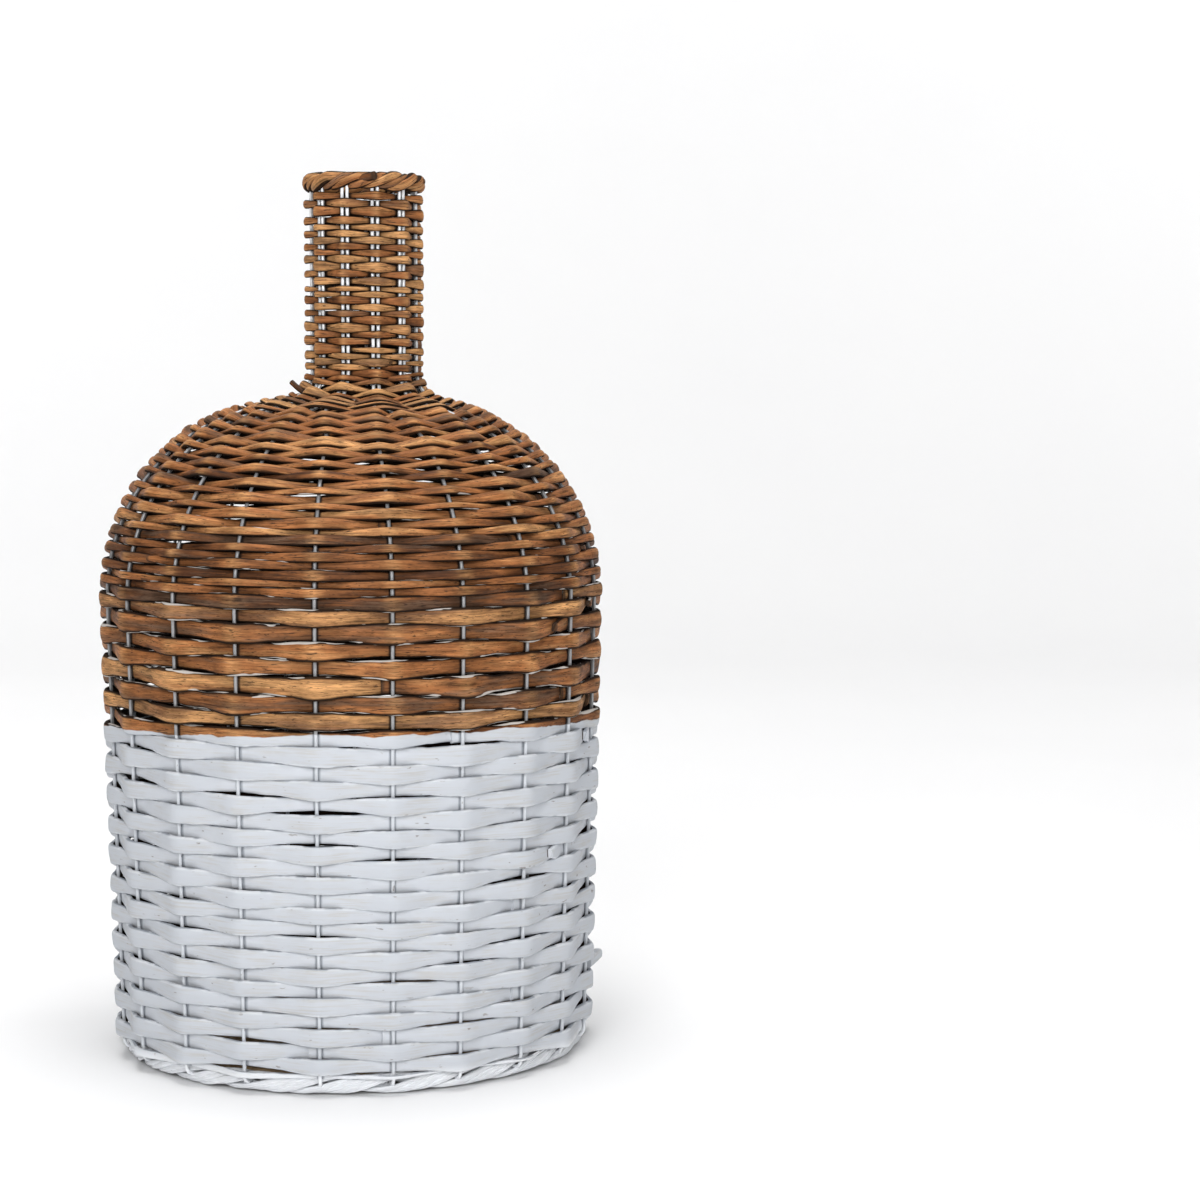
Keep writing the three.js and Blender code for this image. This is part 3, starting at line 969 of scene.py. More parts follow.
@dataclass(frozen=True)
class WireFinish(Finish):
    """Galvanised wire, white below the paint line."""

    zinc: Colour = (0.97, 0.97, 0.98)
    dull: Colour = (0.6, 0.61, 0.62)
    # zinc darkened below the neck, partly dirt and partly painted shade between the rods
    patina_and_shade: Colour = (0.16, 0.16, 0.165)
    shadow: Colour = (0.03, 0.03, 0.03)
    # the wires' white paint, lighter than the rods' to lift their real shade: painted light
    coat: Colour = (0.64, 0.67, 0.71)
    neck_foot: float = 0.46
    patina_and_shade_fade: float = 0.02
    metallic: float = 0.25
    paint_roughness: float = 0.55

    def material(self, groups: ShaderGroups) -> bpy.types.Material:
        """Builds the material.

        Args:
            groups: Shared shader groups.

        Returns:
            The material.
        """
        material, n = self.open()
        place = n.object_place()
        spangle = n.noise(place, (420.0, 420.0, 160.0), 4.0, 0.65)
        lower = n.step(n.parts(place)[2], self.neck_foot, self.neck_foot - self.patina_and_shade_fade)
        marks = [
            (n.step(spangle, 0.42, 0.68), self.dull),
            # darker zinc below the neck: partly dirt, partly painted shade
            (lower * 0.75, self.patina_and_shade),
            (n.step(n.attribute("edge"), 0.85, 1.0) * 0.7, self.shadow),
        ]
        coat = self.place(n, groups.paint, {"Paint": self.coat, "Worn": self.coat})
        self.surface(
            n,
            Base_Color=n.blend(coat["Mask"], n.layers(self.zinc, marks), coat["Color"]),
            Metallic=n.mix(coat["Mask"], self.metallic, 0.0),
            Roughness=n.mix(coat["Mask"], spangle * 0.3 + 0.28, self.paint_roughness),
            Normal=self.bump(n, spangle, 0.0002, 0.4),
        )
        return material


@dataclass(frozen=True)
class PlywoodFinish(Finish):
    """Plain plywood: straight figure on the faces and darker glue lines on the edge."""

    light: Colour = (0.55, 0.38, 0.22)
    dark: Colour = (0.36, 0.22, 0.12)
    glue: Colour = (0.2, 0.12, 0.07)
    bottom: float = 0.00865
    ply: float = 0.00167

    def material(self) -> bpy.types.Material:
        """Builds the material.

        Returns:
            The material.
        """
        material, n = self.open()
        place = n.object_place()
        figure = n.noise(place, (7.0, 130.0, 130.0), 5.0, 0.62)
        layer = n.math("FRACT", (n.parts(place)[2] - self.bottom) / self.ply)
        line = 1.0 - n.step(abs(layer - 0.5), 0.0, 0.16)
        marks = [(n.step(figure, 0.35, 0.68), self.dark), (line * 0.5, self.glue)]
        normal = self.bump(n, figure, 0.0004, 0.4)
        colour = n.layers(self.light, marks)
        self.surface(n, Base_Color=colour, Roughness=figure * 0.25 + 0.55, Normal=normal)
        return material


@dataclass(frozen=True)
class FloorFinish(Finish):
    """Pale matt studio floor."""

    pale: Colour = (0.9, 0.9, 0.9)
    faint: Colour = (0.87, 0.87, 0.875)
    roughness: float = 0.9

    def material(self) -> bpy.types.Material:
        """Builds the material.

        Returns:
            The material.
        """
        material, n = self.open()
        cloud = n.noise(n.object_place(), (2.0, 2.0, 2.0), 2.0, 0.5)
        self.surface(n, Base_Color=n.blend(cloud, self.pale, self.faint), Roughness=self.roughness)
        return material


# Sub-assemblies


@dataclass
class Workshop:
    """What every sub-assembly is built with, and the pieces that are done."""

    sweep: RodSweep
    materials: dict[Slot, bpy.types.Material]
    done: dict[str, bpy.types.Object] = field(default_factory=dict)

    def dress(self, piece: bpy.types.Object, node: str) -> None:
        """Seats a piece on the body in place of its CAD node.

        Args:
            piece: Finished piece.
            node: CAD node that it stands for.
        """
        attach(piece, "root")
        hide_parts(node)
        self.done[node] = piece


@dataclass
class WireStakes:
    """The bent wires of the cage, in millimetres."""

    form: CageForm
    step: float = 3.0
    sides: int = 10
    tone: float = 0.5
    grain_step: float = 2.0

    def spine(self, k: int) -> Spine:
        """Bend line of one wire.

        Args:
            k: Number of the stake.

        Returns:
            Its spine.
        """
        top = self.form.meridian["top"]
        s = np.linspace(0, top, int(top / self.step))
        angle = self.form.stake_angle(np.full(len(s), k), s)
        place = self.form.point(s, np.zeros(len(s)), angle)
        a = np.radians(angle)
        sideways = np.stack([np.cos(a), np.sin(a), np.zeros(len(a))], -1)
        out, across = section_directions(place, self.form.directions(s, angle)[0], sideways)
        size = np.full(len(s), self.form.wire_radius)
        return Spine(place, out, across, size, size, self.tone, 0.0, self.grain_step * k)

    def build(self, shop: Workshop) -> None:
        """Builds and dresses every wire."""
        for k in range(self.form.stakes):
            node = f"stake_{k + 1:02d}"
            spines, zinc = [self.spine(k)], shop.materials[Slot.WIRE]
            shop.dress(shop.sweep.piece(node + "_wire", spines, zinc, self.sides), node)


@dataclass
class RodStretch:
    """A stretch of the spiral woven with one sort of rod.

    Widths are shares of a row's height, lifts and depths are in millimetres, and a pair of values holds
    what the stretch has at its start and at its end, or the least and the greatest.
    """

    prefix: str
    rods: int
    from_row: float
    to_row: float
    kind: RodKind
    slot: Slot
    finish: Slot
    half_depth: float
    lift_out: float
    lift_in: float
    middle_width: float
    swell: Range
    tuck: float
    tone: Range
    bark_share: float
    variety: float
    taper: float
    rod_length: tuple[int, int]
    ripple: float
    relief: float
    fray: Range
    shade: Range = (0.1, 0.1)
    slack: float = 0.0
    squareness: float = 0.95
    shown_share: float = 0.16
    samples: int = 14

    def spans(self, u0: int, u1: int, rng: np.random.Generator) -> list["RodSpan"]:
        """Cuts a length of the stretch into the single rods that a maker joins behind the stakes.

        Args:
            u0: Crossing where the length starts.
            u1: Crossing where it ends.
            rng: Seeded random numbers.

        Returns:
            The rods in order.
        """
        rods: list[RodSpan] = []
        joint = u0
        shortest, longest = self.rod_length
        while joint < u1:
            after = u1
            if u1 - joint >= shortest + longest:
                after = joint + 2 * int(rng.integers(shortest // 2, longest // 2))
            girth = 1 + self.variety * rng.uniform(-1, 1)
            shown = after < u1 and rng.random() < self.shown_share
            rods.append(RodSpan(joint, after, girth * (1 + self.taper), girth * (1 - self.taper), shown))
            joint = after
        return rods


@dataclass(frozen=True)
class RodSpan:
    """One rod between two joints, counted in crossings, with its girth at the butt and at the tip.

    Its start lies tucked inside the end of the rod before it, and a shown end comes out over the next rod.
    """

    joint: int
    after: int
    butt: float
    tip: float
    shown: bool
    tucked_start: float = 0.3
    tucked_end: float = 0.2
    shown_end: float = 0.5

    @property
    def start(self) -> float:
        """Crossing where the rod begins, a little before its joint."""
        return self.joint - self.tucked_start

    @property
    def end(self) -> float:
        """Crossing where the rod ends, a little after the next joint."""
        return self.after + (self.shown_end if self.shown else self.tucked_end)

    def girth(self, u: np.ndarray) -> np.ndarray:
        """Girth at a crossing as a share of the usual one, falling evenly from the butt to the tip."""
        return self.butt + (self.tip - self.butt) * (np.asarray(u) - self.joint) / (self.after - self.joint)


@dataclass
class Packing:
    """Rows of one stretch after rods of uneven girth have been beaten down close on one another."""

    rods: list[RodSpan]
    beyond: float = 400.0

    def __post_init__(self) -> None:
        """Sums the girths and fits the sum to the stretch."""
        u = np.arange(self.rods[0].joint, self.rods[-1].after + 0.25, 0.5)
        girth = np.ones(len(u))
        for rod in self.rods:
            inside = (u >= rod.joint) & (u <= rod.after)
            girth[inside] = rod.girth(u[inside])
        steps = (girth[1:] + girth[:-1]) / 2 * np.diff(u)
        self.scale = (u[-1] - u[0]) / steps.sum()
        moved = u[0] + np.concatenate([[0.0], np.cumsum(steps * self.scale)])
        first, last = u[0] - self.beyond, u[-1] + self.beyond
        self.given = np.concatenate([[first], u, [last]])
        self.moved = np.concatenate([[first], moved, [last]])

    @property
    def ends(self) -> list[int]:
        """Crossings where the stretch starts and ends."""
        return [self.rods[0].joint, self.rods[-1].after]

    def crossing(self, u: np.ndarray) -> np.ndarray:
        """Where a crossing of evenly spaced rows has moved to."""
        return np.interp(u, self.given, self.moved)


@dataclass(frozen=True)
class CutEnd:
    """A short cut end of a rod that leaves the weave or a border, in millimetres and degrees."""

    angle: float
    run: float
    up: float
    out: float
    radius: float
    dark: bool = False
    curl: float = 1.5
    samples: int = 16

    def spine(self, form: CageForm, length: float, tone: float, offset: float) -> Spine:
        """Middle line of the cut end.

        Args:
            form: Form of the cage.
            length: Length along the bend line where it leaves.
            tone: Tone of the rod, unless the end is dark.
            offset: Place of its grain.

        Returns:
            The spine, from inside the wall to the cut face.
        """
        way = np.linspace(0, 1, self.samples)
        angle = self.angle + self.run * way
        place = form.point(length + self.up * way, self.out * way**self.curl, angle)
        out, across = section_directions(place, *form.directions(np.full(self.samples, length), angle))
        size = np.full(self.samples, self.radius)
        return Spine(place, out, across, size, size, 1.0 if self.dark else tone, 1.0, offset)


def rod_figure(rng: np.random.Generator, tone: Range, bark_share: float) -> dict[str, float]:
    """Draws a rod's own tone, its bark and the place of its grain.

    Args:
        rng: Seeded random numbers.
        tone: Least and greatest tone.
        bark_share: Share of the rods that keep some bark.

    Returns:
        The values by the names that a spine has for them.
    """
    drawn = {"tone": rng.uniform(*tone)}
    drawn["bark"] = float(rng.random() < bark_share)
    drawn["offset"] = rng.uniform(0, GRAIN_RANGE)
    return drawn


@dataclass
class Weaver:
    """One spiral weaver: it passes outside one stake and inside the next, and climbs to the left."""

    form: CageForm
    rows: RowTable
    crossings: int
    start: int
    paired: bool
    seed: int
    stretches: list[RodStretch]
    stiffness: float = 0.075
    bend_rounds: int = 4
    row_wander: float = 0.08
    roll: float = 0.12
    unevenness: float = 0.06
    slack_spread: float = 0.7
    slack_least: float = 0.4
    slack_rise: float = 0.4
    least_girth: float = 0.15
    depth_share: float = 0.6
    ripple_length: float = 9.0
    lap_length: float = 1.1
    lap_depth: float = 1.5
    lead_in: int = 1
    run_on: int = 3
    crest_width: float = 0.1
    dive_width: float = 0.3
    crevice_reach: float = 2.8
    knot_spacing: Range = (160.0, 620.0)
    knot_depth: float = 0.12
    knot_width: float = 0.06
    end_taper: float = 0.4
    end_length: float = 0.22
    relief_seeds: int = 40
    pool: int = 4096
    loose_ends: dict[str, tuple[float, CutEnd]] = field(default_factory=dict)

    def angle(self, u: np.ndarray, s: np.ndarray) -> np.ndarray:
        """Angle of a crossing.

        Args:
            u: Whole numbers of crossings from the start of the spiral.
            s: Lengths along the bend line there.

        Returns:
            Degrees to the right of the front.
        """
        k = (self.start - u) % self.crossings
        if not self.paired:
            return self.form.stake_angle(k, s)
        last = self.form.stakes - 1
        first, second = (self.form.stake_angle(np.minimum(2 * k + i, last), s) for i in range(2))
        return (first + second) / 2

    def wander(self, u: np.ndarray, what: Uneven) -> np.ndarray:
        """Seeded unevenness of each crossing, from -1 to 1."""
        values = np.random.default_rng(self.seed * 10 + what.value).uniform(-1, 1, self.pool)
        return values[np.mod(u, self.pool)]

    def bend(self, u: np.ndarray, wanted: np.ndarray, fine: np.ndarray, samples: int) -> np.ndarray:
        """Bends a stiff rod through the points where it passes the wires.

        Args:
            u: Whole numbers of crossings.
            wanted: Points of the rod there.
            fine: Crossings of the bent line's points.
            samples: Points from one crossing to the next.

        Returns:
            Points of the bent line.
        """
        width = self.stiffness * samples
        reach = max(2, int(3 * self.stiffness * samples))
        kernel = np.exp(-0.5 * (np.arange(-reach, reach + 1) / width) ** 2)
        kernel /= kernel.sum()
        guide = wanted.copy()
        for _ in range(self.bend_rounds):
            lines = [np.interp(fine, u, guide[:, axis]) for axis in range(3)]
            padded = [np.pad(line, reach, mode="edge") for line in lines]
            path = np.stack([np.convolve(line, kernel, mode="valid") for line in padded], 1)
            guide += wanted - path[::samples]
        return path

    def spine(
        self, stretch: RodStretch, span: RodSpan, packing: Packing, rng: np.random.Generator
    ) -> Spine:
        """The spine of one rod.

        Args:
            stretch: Sort of rod.
            span: Where it starts and ends, and its girth.
            packing: Rows of the stretch.
            rng: Seeded random numbers.

        Returns:
            The rod's spine, bent over each wire and nearly straight between.
        """
        first, last = math.floor(span.start) - self.run_on, math.ceil(span.end) + self.run_on
        u = np.arange(first, last + 1)
        row = packing.crossing(u) / self.crossings + 0.5
        thin = np.clip(1 + u / self.lead_in, self.least_girth, 1)
        outside = u % 2 == 1
        slack = np.clip(self.wander(u, Uneven.SLACK) / self.slack_spread - self.slack_least, 0, 1)
        slack = np.where(outside, 0.0, stretch.slack * slack)
        raised = self.row_wander * self.wander(u, Uneven.ROW) + (1 - thin) / 2 + self.slack_rise * slack
        s = self.rows.length(row) + raised * self.rows.pitch(row)
        d = np.where(outside, stretch.lift_out, -stretch.lift_in)
        fine = np.linspace(first, last, (last - first) * stretch.samples + 1)
        path = self.bend(u, self.form.point(s, d, self.angle(u, s)), fine, stretch.samples)
        row = packing.crossing(fine) / self.crossings + 0.5
        s = self.rows.length(row)
        turn = np.degrees(np.arctan2(path[:, 0] - self.form.aside(s), -path[:, 1]))
        out, across = section_directions(path, *self.form.directions(s, turn))
        roll = (self.roll * np.interp(fine, u, self.wander(u, Uneven.ROLL)))[:, None]
        out, across = (
            out * np.cos(roll) + across * np.sin(roll),
            across * np.cos(roll) - out * np.sin(roll),
        )
        lap = smooth_share(fine, span.start, span.start + self.lap_length) - 1
        if span.shown:
            lap += smooth_share(fine, span.end - self.lap_length / 2, span.end)
        place = path + out * (lap * self.lap_depth * stretch.half_depth)[:, None]
        keep = (fine >= span.start - 1e-6) & (fine <= span.end + 1e-6)
        t = fine[keep]
        phase = np.cos(math.pi * (t - 1))
        changing = (stretch.swell, stretch.fray, stretch.shade)
        swell, fray, shade = (np.interp(t, packing.ends, pair) for pair in changing)
        width = stretch.middle_width + np.where(phase > 0, swell, stretch.tuck) * phase
        width = width - np.interp(t, u, slack)
        girth = span.girth(t) * packing.scale * np.interp(t, u, thin)
        uneven_width, uneven_depth = (
            1 + self.unevenness * np.interp(t, u, self.wander(u, what))
            for what in (Uneven.WIDTH, Uneven.DEPTH)
        )
        depth = stretch.half_depth * ((1 - self.depth_share) + self.depth_share * girth)
        behind = t - 2 * np.round(t / 2)
        away = behind * math.tau * self.form.at("r", s[keep]) / self.crossings
        spine = Spine(
            place[keep],
            out[keep],
            across[keep],
            0.5 * self.rows.pitch(row[keep]) * width * girth * uneven_width,
            depth * uneven_depth,
            **rod_figure(rng, stretch.tone, stretch.bark_share),
            fray=fray,
            hollow=1.0,
            shade=shade,
            crest=hump(t - (2 * np.round((t - 1) / 2) + 1), self.crest_width),
            dive=hump(behind, self.dive_width),
            crevice=hump(away, self.crevice_reach),
        )
        swelling = spine.add_knots(rng, self.knot_spacing)
        spine.half_depth = spine.half_depth * (1 + self.knot_depth * swelling)
        spots = np.arange(0, spine.along[-1] + self.ripple_length, self.ripple_length)
        ripple = np.interp(spine.along, spots, rng.uniform(-1, 1, len(spots)))
        spine.half_width = spine.half_width * (1 + self.knot_width * swelling + stretch.ripple * ripple)
        if span.shown:
            pointed = self.end_taper * smooth_share(t, span.end - self.end_length, span.end)
            spine.half_width = spine.half_width * (1 - pointed)
        return spine

    def build(self, shop: Workshop) -> None:
        """Builds and dresses the rods of every stretch."""
        for index, stretch in enumerate(self.stretches):
            rng = np.random.default_rng(self.seed * 100 + index)
            u0, u1 = (2 * round(row * self.crossings / 2) for row in (stretch.from_row, stretch.to_row))
            ends = [u0 + 2 * round((u1 - u0) * i / stretch.rods / 2) for i in range(stretch.rods + 1)]
            spans = [stretch.spans(a, b, rng) for a, b in zip(ends, ends[1:])]
            packing = Packing([span for group in spans for span in group])
            for i, group in enumerate(spans):
                node = f"{stretch.prefix}_{i + 1:02d}"
                spines = [self.spine(stretch, span, packing, rng) for span in group]
                if node in self.loose_ends:
                    length, end = self.loose_ends[node]
                    spines.append(end.spine(self.form, length, max(stretch.tone), float(i)))
                piece = shop.sweep.piece(
                    node + "_willow",
                    spines,
                    shop.materials[stretch.finish],
                    sides=stretch.kind.sides,
                    inner_depth=stretch.kind.inner_depth,
                    squareness=stretch.squareness,
                    relief=stretch.relief,
                    seed=float(index * self.relief_seeds + i),
                )
                shop.dress(piece, node)


@dataclass
class TwistedBorder:
    """A border of thin rods twisted round the stakes, in place of two strands of the CAD model."""

    prefix: str
    slot: Slot
    form: CageForm
    middle: float
    groups: int
    first_angle: float
    rope_out: float
    rope_up: float
    rod_radius: float
    rods_per_strand: int
    spread: float
    tone: Range
    seed: int
    rise: float = 0.0
    variety: float = 0.1
    sway: Range = (0.5, 0.9)
    wobble: Range = (1.4, 2.0)
    bark_share: float = 0.4
    knot_spacing: Range = (60.0, 220.0)
    end_gap: float = 0.02
    samples: int = 16
    sides: int = 12
    squareness: float = 0.95
    relief: float = 0.0006
    relief_seed: float = 90.0
    cut_ends: tuple[CutEnd, ...] = ()

    def spine(self, strand: int, rod: int, rng: np.random.Generator) -> Spine:
        """One rod of a strand, wound once round the border.

        Args:
            strand: Number of the strand.
            rod: Number of the rod in it.
            rng: Seeded random numbers.

        Returns:
            The rod's spine.
        """
        count = self.groups * self.samples
        q = np.linspace(self.end_gap, self.groups - self.end_gap, count)
        angle = self.first_angle + q * 360 / self.groups
        turn = math.pi * (q + strand) + self.spread * (rod - (self.rods_per_strand - 1) / 2)
        turn = turn + self.variety * np.sin(q * rng.uniform(*self.sway) + rng.uniform(0, 6))
        wobble = 1 + self.variety * np.sin(q * rng.uniform(*self.wobble) + rng.uniform(0, 6))
        s = self.middle + self.rope_up * wobble * np.sin(turn)
        d = self.rope_out * wobble * np.cos(turn) + self.rise
        place = self.form.point(s, d, angle)
        out, across = section_directions(place, *self.form.directions(np.full(count, self.middle), angle))
        girth = 1 + 2 * self.variety * rng.uniform(-1, 1)
        size = self.rod_radius * girth * (1 + self.variety * np.sin(q * 2.3 + rod * 2))
        spine = Spine(place, out, across, size, size, **rod_figure(rng, self.tone, self.bark_share))
        spine.add_knots(rng, self.knot_spacing)
        return spine

    def build(self, shop: Workshop) -> None:
        """Builds and dresses both strands."""
        rng = np.random.default_rng(self.seed)
        for strand in range(2):
            node = f"{self.prefix}_{strand + 1}"
            spines = [self.spine(strand, rod, rng) for rod in range(self.rods_per_strand)]
            for end in self.cut_ends[strand::2]:
                tone, offset = rng.uniform(*self.tone), rng.uniform(0, GRAIN_RANGE)
                spines.append(end.spine(self.form, self.middle, tone, offset))
            piece = shop.sweep.piece(
                node + "_twist",
                spines,
                shop.materials[self.slot],
                sides=self.sides,
                squareness=self.squareness,
                relief=self.relief,
                seed=self.relief_seed + strand,
            )
            shop.dress(piece, node)


@dataclass
class BasePanel:
    """The round plywood base on the turned-in ends of the stakes, in millimetres."""

    radius: float = 148.4
    bottom: float = 8.65
    thickness: float = 5.0
    chamfer: float = 0.6
    segments: int = 96

    def build(self, shop: Workshop) -> None:
        """Turns the panel on the axis and dresses it."""
        low, high = self.bottom, self.bottom + self.thickness
        c, r = self.chamfer, self.radius
        outline = [(0.0, low), (r - c, low), (r, low + c), (r, high - c), (r - c, high), (0.0, high)]
        bm = bmesh.new()
        points = [bm.verts.new((x * MM, 0.0, z * MM)) for x, z in outline]
        edges = [bm.edges.new(pair) for pair in zip(points, points[1:])]
        turned = {"cent": (0, 0, 0), "axis": (0, 0, 1), "angle": math.tau, "steps": self.segments}
        bmesh.ops.spin(bm, geom=points + edges, use_merge=True, **turned)
        bmesh.ops.remove_doubles(bm, verts=bm.verts, dist=1e-6)
        bmesh.ops.recalc_face_normals(bm, faces=bm.faces)
        mesh = bpy.data.meshes.new("base_panel_plywood")
        bm.to_mesh(mesh)
        bm.free()
        mesh.materials.append(shop.materials[Slot.PLYWOOD])
        shop.dress(put_in_scene("base_panel_plywood", mesh), "base_panel")


# The studio


@dataclass(frozen=True)
class SoftLight:
    """A square area light with its place, size, power and aim, in metres and watts."""

    name: str
    place: Point
    size: float
    power: float
    aim: Point = (0.0, 0.0, 0.3)

    def build(self) -> None:
        """Makes the light."""
        data = bpy.data.lights.new(self.name, "AREA")
        data.size = self.size
        data.energy = self.power
        light = put_in_scene(self.name, data)
        light.location = self.place
        look_along(light, Vector(self.aim) - Vector(self.place))


@dataclass
class Studio:
    """Camera, floor and soft lights, in metres and degrees."""

    focal_pixels: float = 2800.0
    image_size: float = 1200.0
    axis_pixel: float = 351.5
    horizon_pixel: float = 370.0
    sensor_width: float = 36.0
    distance: float = 1.971
    camera_height: float = 0.475
    world_strength: float = 0.06
    backdrop_strength: float = 1.0
    floor_reach: float = 4.2
    backdrop_start: float = 2.5
    backdrop_bend: float = 1.5
    backdrop_top: float = 6.0
    lights: tuple[SoftLight, ...] = (
        SoftLight("key", (-0.9, -3.0, 1.5), 1.4, 52.0),
        SoftLight("fill", (1.3, -2.9, 1.1), 1.8, 28.0),
        SoftLight("top", (0.0, -0.2, 2.8), 2.2, 77.0),
        SoftLight("back_left", (-2.4, 1.2, 2.6), 1.6, 66.0, (-1.8, 4.0, 1.9)),
        SoftLight("back_right", (3.2, 1.2, 2.6), 1.6, 66.0, (2.4, 4.0, 1.9)),
        SoftLight("floor_front", (0.0, -4.0, 3.2), 2.6, 300.0, (0.0, -7.5, 0.0)),
        SoftLight("floor_left", (-4.0, -1.0, 3.2), 2.6, 300.0, (-7.5, -2.0, 0.0)),
        SoftLight("floor_right", (4.4, -1.0, 3.2), 2.6, 300.0, (7.5, -2.0, 0.0)),
    )

    def build(self) -> None:
        """Makes the camera, the floor, the world and the lights."""
        bpy.context.scene.view_settings.view_transform = "Standard"
        self.camera()
        self.floor()
        self.world()
        for light in self.lights:
            light.build()

    def camera(self) -> None:
        """Makes the camera, whose view falls on the vase's axis and horizon as in the photograph."""
        data = bpy.data.cameras.new("camera")
        data.sensor_width = self.sensor_width
        data.lens = self.sensor_width * self.focal_pixels / self.image_size
        camera = put_in_scene("camera", data)
        yaw = math.atan((self.image_size / 2 - self.axis_pixel) / self.focal_pixels)
        pitch = math.atan((self.image_size / 2 - self.horizon_pixel) / self.focal_pixels)
        level = math.cos(pitch)
        camera.location = (0.0, -self.distance, self.camera_height)
        look_along(camera, Vector((math.sin(yaw) * level, math.cos(yaw) * level, -math.sin(pitch))))
        bpy.context.scene.camera = camera

    def floor(self) -> None:
        """Makes a pale floor that bends up into a backdrop."""
        start, bend, side = self.backdrop_start, self.backdrop_bend, self.floor_reach
        turn = np.linspace(0, math.pi / 2, 17)
        arc = [(start + bend * math.sin(a), bend - bend * math.cos(a)) for a in turn]
        line = [(-side, 0.0), (0.0, 0.0), *arc, (start + bend, self.backdrop_top)]
        verts = [(x, y, z) for y, z in line for x in (-side, side)]
        faces = [(2 * i, 2 * i + 1, 2 * i + 3, 2 * i + 2) for i in range(len(line) - 1)]
        mesh = bpy.data.meshes.new("studio_floor")
        mesh.from_pydata(verts, [], faces)
        mesh.materials.append(FloorFinish("studio_pale").material())
        for polygon in mesh.polygons:
            polygon.use_smooth = True
        put_in_scene("studio_floor", mesh)

    def world(self) -> None:
        """Makes a world that gives a little light and is seen as a white backdrop."""
        world = bpy.data.worlds.new("studio_world")
        bpy.context.scene.world = world
        world.use_nodes = True
        nodes = world.node_tree.nodes
        n = NodeSketch(world.node_tree)
        n.feed(nodes["Background"].inputs["Color"], (1.0, 1.0, 1.0))
        n.feed(nodes["Background"].inputs["Strength"], self.world_strength)
        lit = Signal(n, nodes["Background"].outputs[0])
        white = {"Color": (1.0, 1.0, 1.0), "Strength": self.backdrop_strength}
        seen = n.add("ShaderNodeBackground", white)
        straight = n.add("ShaderNodeLightPath", {}, "Is Camera Ray")
        choice = n.add("ShaderNodeMixShader", {0: straight, 1: lit, 2: seen})
        n.feed(nodes["World Output"].inputs["Surface"], choice)


# Assembly


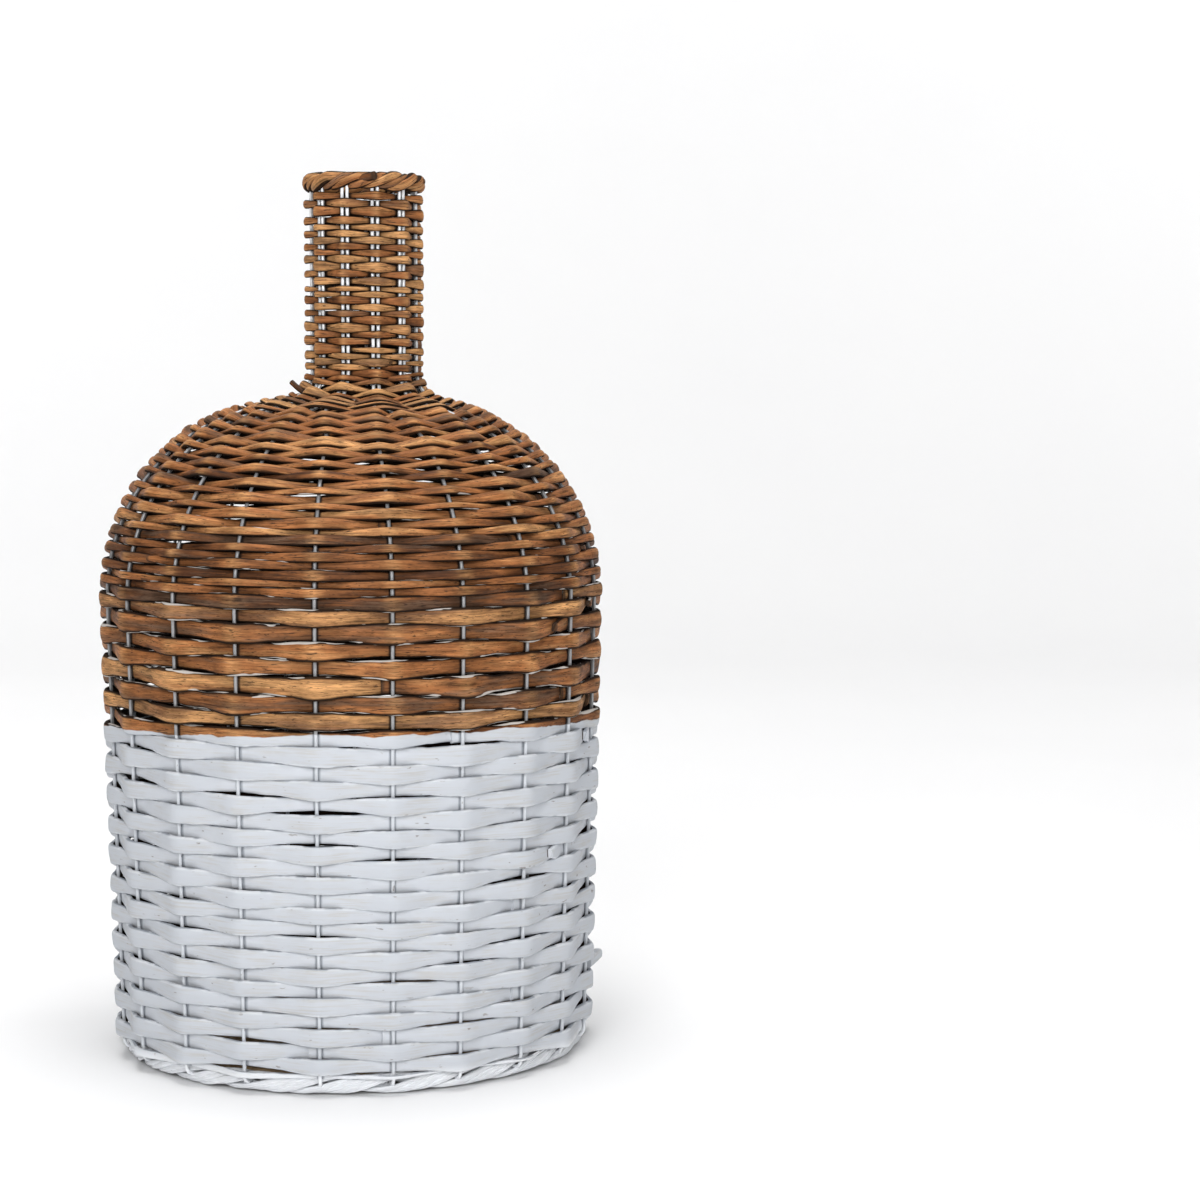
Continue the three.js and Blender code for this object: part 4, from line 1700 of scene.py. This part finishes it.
@dataclass
class WovenBottle:
    """The whole vase: its cage, weavers, borders and base, with the pitches of the weaving in millimetres."""

    form: CageForm = field(default_factory=CageForm)
    paint_height: float = 230.0
    white_pitch: float = 10.3
    brown_pitch: float = 11.6
    shoulder_pitch: float = 5.8
    collar_pitch: float = 5.0
    neck_pitch: float = 4.5
    pitch_change: float = 24.0
    neck_weave_share: float = 0.56
    rim_room: float = 9.0
    rim_middle: float = 2.7
    foot_middle: float = 3.1
    foot_overlap: float = 2.0
    lead_in: int = 14

    @property
    def collar(self) -> float:
        """Length along the bend line where the weaving of the body ends and that of the neck starts."""
        return self.form.meridian["fillet"] - self.form.pairing_length * (1 - self.neck_weave_share)

    def body_weaver(self) -> Weaver:
        """Plans the weaver of the wall and shoulder.

        Returns:
            The weaver.
        """
        line, form, end = self.form.meridian, self.form, self.collar
        low = form.turned_in_height + form.foot_bend
        share = (self.paint_height - low) / (form.wall_top_height - low)
        paint = line["wall"] + share * (line["shoulder"] - line["wall"])
        half = self.pitch_change / 2
        knots = [
            (paint - half, self.white_pitch),
            (paint + half, self.brown_pitch),
            (line["shoulder"] - half, self.brown_pitch),
            (line["shoulder"] + half, self.shoulder_pitch),
            ((line["shoulder"] + end) / 2, self.shoulder_pitch),
            (end, self.collar_pitch),
        ]
        rows = RowTable(line["wall"] - self.foot_overlap, end, knots)
        LOG.info("the body has %d rows", rows.total)
        paint_row, shoulder_row = rows.row(paint), rows.row(line["shoulder"])
        split = {"kind": RodKind.SPLIT, "half_depth": 2.4, "lift_out": 3.4, "lift_in": 3.8}
        white = RodStretch(
            "white_rod", 10, -self.lead_in / form.stakes, paint_row, **split,
            slot=Slot.PAINTED, finish=Slot.PAINTED, middle_width=1.03, swell=(0.19, 0.19), tuck=-0.16,
            tone=(0.2, 0.8), bark_share=0.3, variety=0.07, taper=0.03, rod_length=(14, 24),
            ripple=0.03, relief=0.0009, fray=(1.0, 1.0), slack=0.33, squareness=0.64,
        )
        wall = RodStretch(
            "wall_rod", 3, paint_row, shoulder_row, **split,
            slot=Slot.NATURAL, finish=Slot.PAINTED, middle_width=0.93, swell=(0.27, 0.27), tuck=-0.08,
            tone=(0.12, 0.66), bark_share=0.5, variety=0.13, taper=0.06, rod_length=(8, 16),
            ripple=0.07, relief=0.0018, fray=(1.0, 1.0), slack=0.32, squareness=0.86,
        )
        shoulder = RodStretch(
            "shoulder_rod", 10, shoulder_row, rows.total, RodKind.ROUND,
            slot=Slot.NATURAL, finish=Slot.NATURAL, half_depth=2.3, lift_out=3.4, lift_in=3.6,
            middle_width=1.06, swell=(0.16, 0.4), tuck=-0.12,
            tone=(0.3, 0.9), bark_share=0.5, variety=0.28, taper=0.16, rod_length=(10, 20),
            ripple=0.06, relief=0.0012, fray=(0.85, 0.1), shade=(0.12, -0.06),
        )
        loose_ends = {
            "white_rod_03": (line["wall"] + 45.0, CutEnd(80.0, 13.0, 0.0, 9.0, 3.6)),
            "shoulder_rod_10": (line["fillet"] + 17.0, CutEnd(-78.0, -12.0, 0.0, 10.5, 1.9, dark=True)),
        }
        return Weaver(
            form, rows, form.stakes, start=5, paired=False, seed=3,
            stretches=[white, wall, shoulder], lead_in=self.lead_in, loose_ends=loose_ends,
        )

    def neck_weaver(self) -> Weaver:
        """Plans the weaver of the neck, which passes the stakes two by two.

        Returns:
            The weaver.
        """
        line, form = self.form.meridian, self.form
        knots = [(line["fillet"], self.collar_pitch), (line["neck"], self.neck_pitch)]
        rows = RowTable(self.collar, line["top"] - self.rim_room, knots)
        LOG.info("the neck has %d rows", rows.total)
        neck = RodStretch(
            "neck_rod", 5, 0, rows.total - 1, RodKind.ROUND,
            slot=Slot.NATURAL, finish=Slot.NATURAL, half_depth=1.6, lift_out=3.9, lift_in=3.7,
            middle_width=1.03, swell=(0.33, 0.33), tuck=0.18,
            tone=(0.0, 0.7), bark_share=0.3, variety=0.34, taper=0.2, rod_length=(8, 14),
            ripple=0.06, relief=0.001, fray=(0.2, 0.2), shade=(0.09, 0.09), samples=12,
        )
        return Weaver(
            form, rows, form.groups, start=2, paired=True, seed=7,
            stretches=[neck], stiffness=0.1, crevice_reach=4.8,
        )

    def borders(self) -> list[TwistedBorder]:
        """Plans the twisted rim and foot.

        Returns:
            Both borders.
        """
        line, form = self.form.meridian, self.form
        cut_ends = (
            CutEnd(-6.0, 15.0, 2.5, 9.5, 3.0, dark=True),
            CutEnd(40.0, 22.0, 5.5, 4.0, 2.2),
            CutEnd(66.0, 14.0, 1.0, 5.0, 2.5),
            CutEnd(196.0, 20.0, 3.0, 7.0, 2.3),
        )
        rim = TwistedBorder(
            "rim_strand", Slot.NATURAL, form, middle=line["top"] - self.rim_middle,
            groups=form.groups, first_angle=float(form.group_angle(np.array(0))),
            rope_out=3.1, rope_up=3.5, rod_radius=2.7, rods_per_strand=2, spread=1.2,
            tone=(0.0, 0.65), seed=41, variety=0.16, cut_ends=cut_ends,
        )
        foot = TwistedBorder(
            "foot_strand", Slot.PAINTED, form, middle=line["bend"] - self.foot_middle,
            groups=form.stakes, first_angle=form.first_stake_angle,
            rope_out=4.6, rope_up=3.9, rod_radius=1.75, rods_per_strand=4, spread=0.6,
            tone=(0.2, 0.6), seed=43, rise=-0.7,
        )
        return [rim, foot]

    def build(self) -> dict[str, bpy.types.Object]:
        """Builds and dresses every piece.

        Returns:
            The pieces by the CAD nodes that they stand for.
        """
        groups = ShaderGroups()
        materials = {
            Slot.WIRE: WireFinish("galvanised_wire_zinc").material(groups),
            Slot.NATURAL: WillowFinish("natural_willow_brown").material(groups),
            Slot.PAINTED: WillowFinish("painted_willow_white", painted=True).material(groups),
            Slot.PLYWOOD: PlywoodFinish("base_plywood_plain").material(),
        }
        shop = Workshop(RodSweep().build(), materials)
        weavers = [self.body_weaver(), self.neck_weaver()]
        for part in (WireStakes(self.form), *weavers, *self.borders(), BasePanel()):
            part.build(shop)
        return shop.done


def main() -> None:
    """Builds and dresses the vase and the studio."""
    logging.basicConfig(level=logging.INFO, format="%(message)s")
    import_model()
    for node, piece in WovenBottle().build().items():
        LOG.info("%s stands for %s with %d faces", piece.name, node, len(piece.data.polygons))
    Studio().build()


if __name__ == "__main__":
    main()
